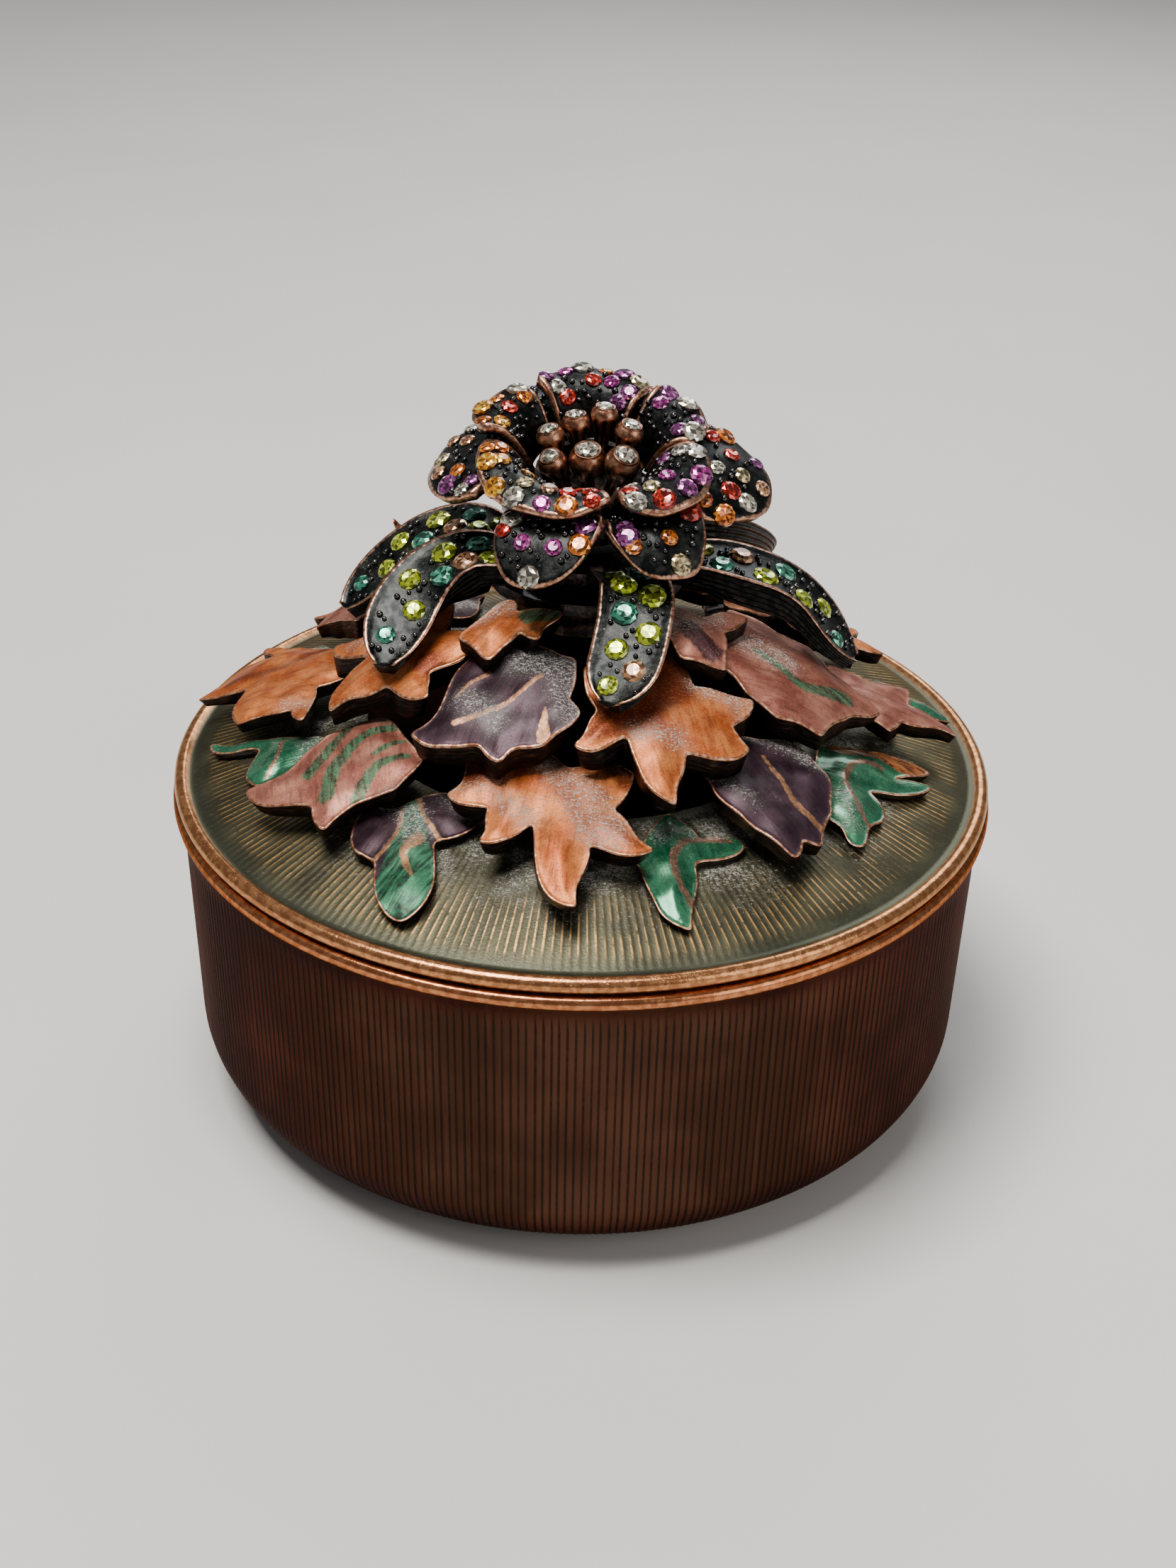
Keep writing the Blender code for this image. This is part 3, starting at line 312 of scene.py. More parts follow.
LEAVES = (
    # First tier: small leaves lying on the dome
    Leaf("leaf_green_left", 0, -74, 41.0, "green", 0.62,
         (Notch(-100, 4.5), Tip(-51, 13, -30, 28), Notch(-57, 4.3), Tip(55, 6.8, 20, 55), Notch(95, 5.5),
          Tip(150, 8, 0, 50), Notch(-170, 6))),
    Leaf("leaf_purple_front_left", 0, -33, 38.0, "purple", 0.8,
         (Notch(-120, 5), Tip(-90, 8.1, 0, 75), Tip(-34, 7.3, 30, 60), Notch(-13, 6), Tip(32, 14.3, 0, 58),
          Notch(88, 3.6), Tip(133, 9.2, 15, 35), Notch(160, 6), Tip(-178, 8, 0, 50))),
    Leaf("leaf_green_front_right", 0, 18, 40.0, "green", 0.62,
         (Tip(-125, 6.5, 0, 60), Tip(-98, 5.2, 0, 75), Tip(-11, 8.9, 35, 38), Notch(114, 2.1),
          Tip(114, 9.9, 20, 62), Notch(140, 6), Tip(172, 10, 0, 50), Notch(-140, 6))),
    Leaf("leaf_green_right", 0, 66, 40.0, "green", 0.62,
         (Tip(-94, 10.5, 0, 80), Tip(-76, 13.1, 0, 80), Tip(-56, 7.6, 20, 70), Notch(-40, 1.3),
          Tip(45, 10.5, 10, 26), Notch(63, 5.5), Tip(60, 12.3, -30, 38), Notch(95, 9.5),
          Tip(150, 9, 0, 60), Notch(-165, 7))),
    Leaf("leaf_green_far_right", 0, 104, 43.0, "green", 0.66,
         (Tip(-100, 5.4, 0, 50), Tip(-24, 10.4, 0, 38), Tip(80, 5.4, 0, 50), Tip(175, 10, 0, 50))),
    Leaf("leaf_green_far_left", 0, -112, 44.5, "green", 0.66,
         (Tip(-95, 7.5, 0, 50), Tip(20, 8.2, 15), Tip(95, 6, 0, 50), Tip(175, 10, 0, 50))),
    Leaf("leaf_purple_back_right", 0, 142, 40.0, "purple", 0.74,
         (Tip(-100, 9, -20), Tip(-5, 11, 20), Tip(95, 9), Tip(180, 11, 0, 50))),
    Leaf("leaf_green_back", 0, -178, 41.0, "green", 0.6,
         (Tip(-92, 8, -30), Tip(-10, 10, 30), Tip(98, 8, -30), Tip(172, 11, 0, 50))),
    Leaf("leaf_purple_back_left", 0, -146, 40.0, "purple", 0.74,
         (Tip(-100, 8.4, -20), Tip(5, 10.5, -20), Tip(100, 8), Tip(180, 11, 0, 50))),
    # Second tier: larger leaves overlapping the first
    Leaf("leaf_pink_left", 1, -51, 37.5, "pink", 0.8,
         (Notch(-105, 8.4), Tip(-43, 13.4, -38), Notch(13, 6.8), Tip(39, 10.3, 18, 38), Notch(101, 8.6),
          Tip(135, 9.6, 10, 60), Notch(150, 8.6), Tip(-150, 10, 0, 60))),
    Leaf("leaf_orange_front", 1, -8, 33.5, "orange", 0.56,
         (Tip(-128, 13, 0, 70), Tip(-94, 12.3, -15, 36), Notch(-80, 6.5), Tip(-48, 9.4, -35, 34),
          Notch(-12, 3.2), Tip(25, 15.6, 32), Notch(50, 8.6), Tip(74, 15.1, 38, 30), Notch(92, 8.6),
          Tip(125, 12.5, 0, 60), Notch(160, 6.5), Tip(-155, 10.5, 0, 50))),
    Leaf("leaf_purple_right", 1, 40, 36.0, "purple", 0.8,
         (Tip(-116, 7.4, 0, 75), Notch(-65, 6.9), Tip(-25, 10.6, -10, 50), Tip(1, 9.7, 10, 50),
          Notch(40, 8.1), Tip(85, 9.5, 0, 75), Tip(120, 10.5, 0, 75), Tip(160, 9.5, 0, 70),
          Tip(-140, 9, 0, 70))),
    Leaf("leaf_pink_far_right", 1, 88, 38.0, "pink", 0.56,
         (Tip(-140, 8, 0, 50), Tip(-70, 8), Tip(-5, 12.8, -25, 26), Tip(48, 10, -10), Tip(130, 8, 0, 50))),
    Leaf("leaf_orange_back_right", 1, 120, 37.5, "orange", 0.5,
         (Tip(-150, 8, 0, 50), Tip(-86, 9.6, 25), Tip(-32, 10.5, 25), Tip(22, 11.4, 25), Tip(88, 9.5, 20),
          Tip(150, 8, 0, 50))),
    Leaf("leaf_orange_left", 1, -93, 38.5, "orange", 0.56,
         (Tip(-150, 9, 0, 50), Notch(-100, 7), Tip(-64, 17, -20, 34), Notch(-62, 11.8),
          Tip(-9, 15.3, 25, 30), Notch(-3, 7.4), Tip(55, 11.7, 20, 45), Notch(93, 9.1),
          Tip(102, 13.4, 15, 34), Notch(122, 6), Tip(160, 9, 0, 50))),
    Leaf("leaf_orange_back_left", 1, -131, 38.0, "orange", 0.5,
         (Tip(-150, 8.4, 0, 50), Tip(-80, 10.2, 25), Tip(-22, 11.4, 25), Tip(30, 11.4, -25),
          Tip(84, 9.5, -20), Tip(150, 8, 0, 50))),
    Leaf("leaf_pink_back", 1, 155, 37.5, "pink", 0.76,
         (Tip(-150, 10, 0, 50), Tip(-80, 9, -20), Tip(-30, 12, -30), Tip(38, 11, 20), Tip(100, 9, 20),
          Tip(160, 9, 0, 50))),
    Leaf("leaf_orange_back", 1, -168, 37.0, "orange", 0.5,
         (Tip(-150, 8, 0, 50), Tip(-92, 9, 25), Tip(-40, 10.5, -25), Tip(10, 13, 30), Tip(70, 10, 25),
          Tip(135, 8, 0, 50))),
    # Third tier: leaves leaning up to the collar
    Leaf("upper_leaf_orange_left", 2, -64, 29.0, "orange", 0.56,
         (Notch(-120, 8), Tip(-84, 12.6, -20, 34), Notch(-92, 4.2), Tip(8, 7.4, 30, 38), Notch(82, 3.9),
          Tip(105, 10.7, 15), Notch(125, 7.5), Tip(150, 13.4, 0, 50), Notch(180, 9), Tip(-155, 14, 0, 50))),
    Leaf("upper_leaf_purple_front", 2, -23, 26.5, "purple", 0.8,
         (Notch(-120, 9), Tip(-62, 11.1, -32), Notch(-2, 5.5), Tip(27, 7.8, 12, 45), Notch(68, 8.4),
          Tip(103, 10.4, 10, 60), Notch(115, 8.6), Tip(148, 11.5, 0, 55), Notch(175, 10),
          Tip(-160, 13, 0, 55))),
    Leaf("upper_leaf_orange_front", 2, 19, 28.5, "orange", 0.56,
         (Notch(-118, 7.6), Tip(-92, 11.1, -25), Notch(-86, 4.3), Tip(-5, 9.6, 35, 34), Notch(31, 4.2),
          Tip(72, 11.5, 25, 30), Notch(86, 9.3), Tip(104, 14.4, 20, 34), Notch(128, 8),
          Tip(158, 13, 0, 50), Notch(-178, 9), Tip(-150, 12.4, 0, 50))),
    Leaf("upper_leaf_pink_right", 2, 63, 29.5, "pink", 0.8,
         (Tip(-114, 8, 0, 60), Notch(-80, 7.7), Tip(-36, 8.3, 0, 42), Notch(21, 7.8),
          Tip(46, 13.6, 15, 30), Notch(75, 8.4), Tip(100, 10.6, 0, 60), Tip(150, 14, 0, 50),
          Notch(178, 9.5), Tip(-160, 13, 0, 50), Notch(-130, 8))),
    Leaf("upper_leaf_orange_right", 2, 108, 29.0, "orange", 0.54,
         (Tip(-92, 9.5, 25), Tip(-30, 10.5, 25), Tip(28, 10.5, 25), Tip(88, 9.5, 20), Tip(150, 14, 0, 50),
          Tip(-150, 14, 0, 50))),
    Leaf("upper_leaf_purple_back", 2, 152, 28.5, "purple", 0.74,
         (Tip(-92, 9, -25), Tip(-30, 10, -20), Tip(30, 10, 15), Tip(92, 9), Tip(180, 16, 0, 50))),
    Leaf("upper_leaf_orange_back", 2, -163, 29.0, "orange", 0.54,
         (Tip(-92, 9.5, 25), Tip(-30, 10.5, 25), Tip(28, 10.5, -25), Tip(88, 9.5, -20), Tip(150, 14, 0, 50),
          Tip(-150, 14, 0, 50))),
    Leaf("upper_leaf_pink_back_left", 2, -112, 29.5, "pink", 0.74,
         (Tip(-100, 10, -20), Tip(-35, 9.5, -25), Tip(30, 10, 20), Tip(92, 9.6), Tip(180, 17, 0, 50))),
    # Fourth tier: small curled leaves between the sepals
    Leaf("small_leaf_orange_front", 3, -38, 19.5, "orange", 0.56,
         (Tip(-51, 4, -10, 55), Notch(8, 3.4), Tip(44, 5.5, 15, 50), Notch(114, 4), Tip(106, 7.2, 0, 50),
          Notch(121, 7), Tip(139, 9.6, 20, 50), Notch(165, 4.2), Tip(-172, 6, 0, 60))),
    Leaf("small_leaf_pink_front", 3, 43, 21.0, "pink", 0.8,
         (Tip(-73, 4.9, 0, 60), Notch(-41, 4.3), Tip(-6, 5.8, 15, 40), Notch(84, 4), Tip(92, 9.6, -20, 28),
          Notch(130, 4), Tip(178, 6.5, 0, 60), Notch(-130, 4.5))),
    Leaf("small_leaf_pink_left", 3, -127, 22.0, "pink", 0.66,
         (Tip(-95, 6.5, 0, 50), Tip(5, 11.5, 20, 32, 7), Tip(95, 6, 0, 50), Tip(180, 7, 0, 50))),
    Leaf("small_leaf_orange_back", 3, 165, 20.5, "orange", 0.66,
         (Tip(-95, 6.5, 0, 50), Tip(-25, 8, 20), Tip(35, 8, -20), Tip(100, 6.5, 0, 50),
          Tip(180, 6.5, 0, 50))),
)

# azimuths and radii of a sepal's middle line at its root, shoulder, middle and tip, and the shoulder's and
# the middle's rise over the root's face
Sepal = namedtuple("Sepal", "name azimuths radii shoulder middle width roll")
SEPALS = (
    Sepal("sepal_front", (23, 23, 15, 6), (9.8, 15.5, 22, 28.5), 0.4, -3.5, 9.4, 0),
    Sepal("sepal_right", (70, 75, 80, 80), (9.8, 19, 28, 36), -0.2, -4.0, 8.8, 8),
    Sepal("sepal_front_left", (-55, -70, -70, -55), (9.8, 15.5, 22, 30.5), 0.4, -2.6, 9.0, -12),
    Sepal("sepal_left", (-99, -105, -100, -91), (9.8, 16.5, 24, 32), 0.6, -2.8, 7.8, -10),
    Sepal("sepal_back_right", (126, 121, 126, 134), (9.8, 17, 25, 33), 0.8, -3.4, 8.4, 0),
    Sepal("sepal_back_left", (-158, -156, -160, -168), (9.8, 17, 25, 33), 0.8, -2.8, 8.4, 0),
)

# Whorls: the four guide points of a petal's middle line, as radius and height about the flower's axis
INNER_WHORL = ((7.2, 3.7), (9.6, 9.6), (12.0, 10.9), (15.8, 8.0))
OUTER_WHORL = ((7.2, 0.9), (11.4, 7.2), (15.0, 7.8), (20.0, 1.8))
Petal = namedtuple("Petal", "name whorl azimuth half_angle reach shingle ripple narrowing rounding",
                   defaults=(0.3, PETAL_ROUNDING))
PETALS = (
    Petal("inner_petal_front_left", INNER_WHORL, -38, 50, 0.0, 0.3, 0.3, 0.1),
    Petal("inner_petal_front_right", INNER_WHORL, 52, 34, 1.4, 0.4, -0.3, 0.1),
    Petal("inner_petal_right", INNER_WHORL, 115, 24, 0.3, 0.5, 0.4, 0.1),
    Petal("inner_petal_back", INNER_WHORL, 178, 33, 0.5, 0.4, 0.4, 0.1),
    Petal("inner_petal_left", INNER_WHORL, -119, 25, 0.3, 0.4, 0.3, 0.1),
    Petal("outer_petal_front_left", OUTER_WHORL, -20, 28, 1.6, 1.1, 0.2, 0.2, 0.5),
    Petal("outer_petal_front_right", OUTER_WHORL, 35, 25, 1.6, 1.1, -0.5, 0.2, 0.5),
    Petal("outer_petal_right", OUTER_WHORL, 87, 29, 3.4, 1.1, 0.3),
    Petal("outer_petal_back_right", OUTER_WHORL, 144, 29, 1.0, 1.1, 0.3),
    Petal("outer_petal_back_left", OUTER_WHORL, -158, 29, 1.0, 1.1, -0.3),
    Petal("outer_petal_left", OUTER_WHORL, -93, 33, 0.4, 1.1, 0.3),
)

Stamen = namedtuple("Stamen", "name azimuth spread height head")
STAMENS = (
    Stamen("stamen_middle", -10, 0.8, 8.0, 2.4),
    Stamen("stamen_left_low", -74, 5.1, 7.4, 1.9),
    Stamen("stamen_left_high", -116, 5.8, 8.6, 1.9),
    Stamen("stamen_back_left", -160, 5.2, 9.2, 1.9),
    Stamen("stamen_back", 160, 5.9, 10.0, 1.8),
    Stamen("stamen_back_right", 114, 5.9, 9.6, 1.9),
    Stamen("stamen_right", 62, 5.3, 8.6, 2.3),
)

# Marks on a leaf: layer, half widths at its start and end, and its places about the leaf's middle as
# direction and reach; lines and patches are painted enamel, dark marks are painted shade with some grime near
# overlapping leaves and between lobes, dust is lint; the leaves that aren't listed take the marks of their
# colour
MARKS = {
    "orange": (("dust", 1.2, 1.6, (150, 6), (-150, 6)),),
    "pink": (("line", 0.25, 0.15, (180, 4), (10, 6)), ("dust", 1.5, 2.0, (150, 6), (-150, 6))),
    "purple": (("line", 0.3, 0.2, (180, 4), (5, 7)), ("line", 0.2, 0.12, (-120, 3), (-60, 6)),
               ("dust", 2.0, 2.4, (150, 6), (-150, 6))),
    "green": (("line", 0.4, 0.25, (180, 4), (30, 1.5), (-10, 6)), ("dust", 1.5, 2.0, (150, 6), (-150, 6))),
    "leaf_green_left": (
        ("line", 0.3, 0.3, (58, 5.0), (65, 1.4), (-111, 2.4), (-133, 5.3)),
        ("dust", 1.5, 3, (-169, 4.3), (138, 6.5)),
    ),
    "leaf_pink_left": (
        ("patch", 0.5, 0.9, (-144, 10.0), (-124, 7.9), (-86, 4.4), (-35, 5.0)),
        ("patch", 0.8, 1.0, (-169, 8.2), (-143, 4.5), (-32, 1.6), (26, 5.4)),
        ("patch", 0.6, 0.9, (141, 7.1), (112, 3.9), (66, 6.2)),
        ("patch", 0.3, 0.5, (167, 9.4), (165, 6.4), (157, 3.5)),
        ("dust", 1.5, 1.5, (-127, 11.1), (-162, 10.0)),
        ("dust", 1, 1, (100, 8.7), (74, 8.0)),
    ),
    "leaf_purple_front_left": (
        ("line", 0.25, 0.3, (-129, 5.5), (-75, 1.6), (-14, 3.9), (-13, 6.0)),
        ("line", 0.3, 0.3, (-149, 7.1), (180, 2.3), (95, 4.2)),
        ("patch", 1.0, 1.6, (-142, 7.5), (-150, 0.9)),
        ("patch", 1.8, 4.4, (34, 1.0), (32, 5.6), (33, 12.2)),
        ("line", 0.9, 0.15, (59, 2.1), (24, 4.3), (37, 8.1)),
        ("dust", 1.6, 1.8, (-121, 7.3), (-141, 2.2), (57, 1.1)),
        ("dust", 1.2, 1.0, (177, 6.8), (134, 7.0)),
    ),
    "leaf_orange_front": (
        ("dark", 2.6, 2.6, (-109, 12.4), (-154, 8.0), (146, 10.7), (117, 12.2)),
        ("dust", 2.0, 4.0, (-174, 5.9), (106, 4.7), (71, 8.1)),
        ("dust", 1.2, 1.0, (-95, 11.2), (-106, 6.3)),
        ("dust", 1.2, 1.5, (-91, 5.7), (-30, 3.4)),
    ),
    "leaf_green_front_right": (
        ("line", 0.45, 0.45, (116, 8.3), (141, 5.6), (-174, 2.2), (-36, 2.0), (-7, 5.1)),
        ("dust", 2.2, 1.8, (179, 6.3), (137, 8.1)),
    ),
    "leaf_purple_right": (
        ("line", 0.2, 0.5, (147, 4.8), (94, 1.9), (15, 4.2), (12, 8.2)),
        ("dust", 2.2, 3.2, (159, 11.2), (134, 9.1), (103, 10.4)),
        ("dust", 0.8, 0.8, (-134, 6.6), (-76, 4.1)),
    ),
    "leaf_green_right": (
        ("line", 0.5, 0.3, (82, 4.7), (134, 3.0), (-131, 3.0), (-78, 6.4), (-65, 9.0)),
        ("dust", 1.6, 1.4, (-105, 5.0), (-82, 9.7)),
        ("patch", 3.4, 1.8, (124, 8.5), (94, 8.8), (73, 9.4), (61, 11.8)),
    ),
    "leaf_orange_left": (
        ("dust", 1.2, 1.2, (85, 8.2), (110, 9.8)),
        ("dark", 0.5, 0.5, (-116, 7.9), (-46, 3.9), (-20, 10.5)),
    ),
    "upper_leaf_purple_front": (
        ("line", 0.3, 0.3, (143, 6.0), (34, 0.9), (-46, 5.8)),
        ("line", 0.28, 0.2, (-140, 4.7), (-110, 5.1), (-85, 5.7)),
        ("line", 0.1, 0.8, (98, 5.9), (72, 7.4)),
        ("dust", 2.5, 4.2, (177, 6.7), (139, 9.2), (109, 10.3)),
        ("dust", 1.6, 1.8, (-84, 4.9), (19, 2.5)),
        ("dark", 2, 2, (-168, 6.4), (161, 7.1)),
    ),
    "upper_leaf_orange_front": (
        ("dark", 2.6, 2.2, (-108, 8.2), (-136, 2.9), (142, 6.9)),
        ("dust", 2.2, 2.4, (127, 8.8), (103, 11.6)),
        ("dust", 1.2, 1.2, (-79, 3.0), (40, 3.0)),
    ),
    "upper_leaf_pink_right": (
        ("patch", 0.6, 0.9, (176, 5.0), (178, 1.2), (10, 1.9), (39, 7.8)),
        ("dark", 1.3, 1.3, (92, 8.5), (74, 11.6)),
        ("dust", 2.4, 2.6, (176, 6.9), (143, 3.0)),
        ("line", 0.3, 0.15, (-95, 6.7), (-53, 5.6)),
    ),
    "small_leaf_pink_front": (
        ("patch", 1.4, 1.6, (-141, 1.1), (-13, 2.6)),
        ("dust", 2.8, 2.6, (-166, 3.9), (122, 5.1)),
        ("line", 0.25, 0.2, (-68, 5.8), (-21, 5.2)),
    ),
    "small_leaf_orange_front": (
        ("patch", 1.5, 1.8, (143, 5.3), (142, 9.3)),
        ("dust", 2.2, 2.6, (-123, 2.9), (-168, 4.8)),
        ("line", 0.5, 0.3, (116, 6.1), (117, 4.1), (89, 3.9)),
    ),
    "upper_leaf_orange_left": (
        ("dust", 1.0, 1.0, (-89, 8.7), (-116, 5.5)),
        ("dark", 1.2, 1.4, (134, 6.5), (125, 11.2)),
    ),
    "leaf_green_far_right": (
        ("line", 0.35, 0.3, (131, 3.4), (10, 1.8), (-2, 7.0)),
        ("dust", 1.2, 1.4, (138, 4.8), (114, 2.1)),
    ),
}

# Second colours
PATCHES = {
    "leaf_purple_front_left": "green",
    "leaf_pink_left": "green",
    "leaf_green_right": "orange",
    "small_leaf_orange_front": "green",
    "small_leaf_pink_front": "purple",
    "upper_leaf_pink_right": "green",
}
# degrees by which the brushed texture is turned away from the leaf's own direction
BRUSH_TURNS = {"leaf_pink_left": 60, "upper_leaf_pink_right": 25}

# Stones in rows over a petal: how far out the row lies, and its stones from left to right as the letters of
# their colours, capitals for the large ones and a dot for a gap
PETAL_STONES = {
    "inner_petal_front_left": ((0.88, "oAACfOr"), (0.62, "oa.wkrr"), (0.36, ".a.r")),
    "inner_petal_front_right": ((0.88, "CRPFC"), (0.62, "rwf.c"), (0.36, "c.p")),
    "inner_petal_right": ((0.88, "CpCP"), (0.60, "p.f")),
    "inner_petal_back": ((0.88, "WPoCfp"), (0.60, "pfr.c"), (0.36, "p.r")),
    "inner_petal_left": ((0.88, "CoAo"), (0.60, "ora")),
    "outer_petal_front_left": ((0.93, ".C."), (0.85, "r.O"), (0.73, "CffP"), (0.58, "f.p")),
    "outer_petal_front_right": ((0.93, ".W."), (0.85, "o.R"), (0.73, "Por"), (0.58, "p.o")),
    "outer_petal_right": ((0.93, "OCkpO"), (0.78, "oRwrr"), (0.6, ".c.")),
    "outer_petal_back_right": ((0.92, "CPcRo"), (0.74, "p.ro")),
    "outer_petal_back_left": ((0.92, "PoPCRo"), (0.74, "oa.or")),
    "outer_petal_left": ((0.92, "CkWkPc"), (0.74, "ck.op")),
}

# Stones down a sepal: share of its length, place across it, width before its scale, and colour
SEPAL_STONES = {
    "sepal_front": ((0.13, -0.35, 2.2, "g"), (0.22, 0.38, 2.2, "t"), (0.33, -0.3, 2.6, "g"),
                    (0.43, 0.42, 2.7, "g"), (0.54, -0.3, 2.5, "t"), (0.64, 0.42, 2.5, "g"),
                    (0.74, -0.32, 2.2, "g"), (0.83, 0.3, 2.2, "k"), (0.92, -0.3, 2.0, "g")),
    "others": ((0.12, -0.35, 2.2, "g"), (0.2, 0.4, 2.2, "g"), (0.3, -0.35, 2.4, "t"), (0.39, 0.4, 2.5, "k"),
               (0.5, -0.35, 2.6, "g"), (0.6, 0.4, 2.4, "t"), (0.7, -0.35, 2.3, "g"), (0.8, 0.3, 2.2, "g"),
               (0.9, -0.25, 1.9, "t")),
}


def unit(degrees):
    """Unit vector in plan."""
    a = math.radians(degrees)
    return np.array((math.cos(a), math.sin(a)))


def polar(azimuth, radius, z=0.0):
    """Points from azimuths in degrees, radii and heights."""
    a = np.radians(azimuth)
    return np.stack(np.broadcast_arrays(radius * np.sin(a), -radius * np.cos(a), z), axis=-1)


def spline(values, t):
    """Smooth curve through evenly spaced values, t from 0 to 1."""
    last = len(values) - 1
    i = min(int(t * last), last - 1)
    s = t * last - i
    before = values[i - 1] if i > 0 else 2 * values[0] - values[1]
    after = values[i + 2] if i + 2 <= last else 2 * values[last] - values[last - 1]
    a, b = values[i], values[i + 1]
    return 0.5 * (2 * a + (b - before) * s + (2 * before - 5 * a + 4 * b - after) * s ** 2
                  + (3 * a - before - 3 * b + after) * s ** 3)


def bezier(points, t):
    """Points of a cubic curve from its four guide points."""
    t = np.asarray(t, float)[..., None]
    s = 1 - t
    a, b, c, d = (np.asarray(p, float) for p in points)
    return s ** 3 * a + 3 * s * s * t * b + 3 * s * t * t * c + t ** 3 * d


def dome(radius):
    """Height of the lid's outer face."""
    return bead_height + DOME_HEIGHT * (1 - (np.minimum(radius, bead_circle) / bead_circle) ** 2)


def tier_face(tier, radius):
    """Height of the faces of a tier of leaves."""
    if tier < 0:
        return dome(radius)
    shape = dome(radius) + CROWN_EDGE[tier] + CROWN_RISE[tier] * (1 - (radius / crown_radius) ** 2)
    return np.maximum(shape, tier_face(tier - 1, radius) + TIER_GAP + LEAF_THINNEST)


def tier_underside(tier, radius):
    """Height of the undersides of a tier of leaves."""
    return np.maximum(tier_face(tier, radius) - LEAF_THICKNESS[tier], tier_face(tier - 1, radius) + TIER_GAP)


collar_flange_low = float(tier_face(2, COLLAR_RADIUS)) + TIER_GAP
collar_flange_top = collar_flange_low + FLANGE_THICKNESS
sepal_root = collar_flange_top + SEPAL_CLEARANCE + SEPAL_ROOT_DEPTH
flower_zero = collar_flange_top + NECK_HEIGHT + FLOWER_LIFT
flower_frame = Matrix.Translation((0, 0, flower_zero)) @ Matrix.Rotation(math.radians(FLOWER_TILT), 4, "X")


def to_flower(points):
    """Points of the flower's own frame in the row frame."""
    m = np.array(flower_frame)
    return points @ m[:3, :3].T + m[:3, 3]


# Meshes

def grid_faces(rows, columns, closed=False, start=0):
    """Quads of a grid of points, closed round its columns or not."""
    i, k = np.meshgrid(np.arange(rows - 1), np.arange(columns if closed else columns - 1), indexing="ij")
    after = (k + 1) % columns
    here, above = i * columns, (i + 1) * columns
    quads = np.stack((here + k, here + after, above + after, above + k), -1)
    return (quads.reshape(-1, 4) + start).tolist()


def end_faces(rows, columns):
    """Flat ends of a grid closed round its columns, at its first and last rows."""
    last = (rows - 1) * columns
    return [tuple(range(columns)), tuple(range(last, last + columns))[::-1]]


def make_piece(name, points, faces, finish, node=None, attributes=None, flat=False, tones=None):
    """One piece of the object: its mesh, its finish, and the part's body that carries it."""
    mesh = bpy.data.meshes.new(name)
    mesh.from_pydata((np.asarray(points) * MM).tolist(), [], faces)
    for key, values in (attributes or {}).items():
        layer = mesh.attributes.new(key, "FLOAT", "POINT")
        layer.data.foreach_set("value", np.asarray(values, np.float32).ravel())
    if tones is not None:
        layer = mesh.attributes.new("tone", "FLOAT_COLOR", "POINT")
        layer.data.foreach_set("color", np.asarray(tones, np.float32).ravel())
    mesh.polygons.foreach_set("use_smooth", [not flat] * len(mesh.polygons))
    mesh.materials.append(finish)
    mesh.update()
    obj = bpy.data.objects.new(name, mesh)
    bpy.context.scene.collection.objects.link(obj)
    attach(obj, "root")
    if node:
        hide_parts(node)
    return obj


# Materials: small helpers that join shader nodes, each returning a socket

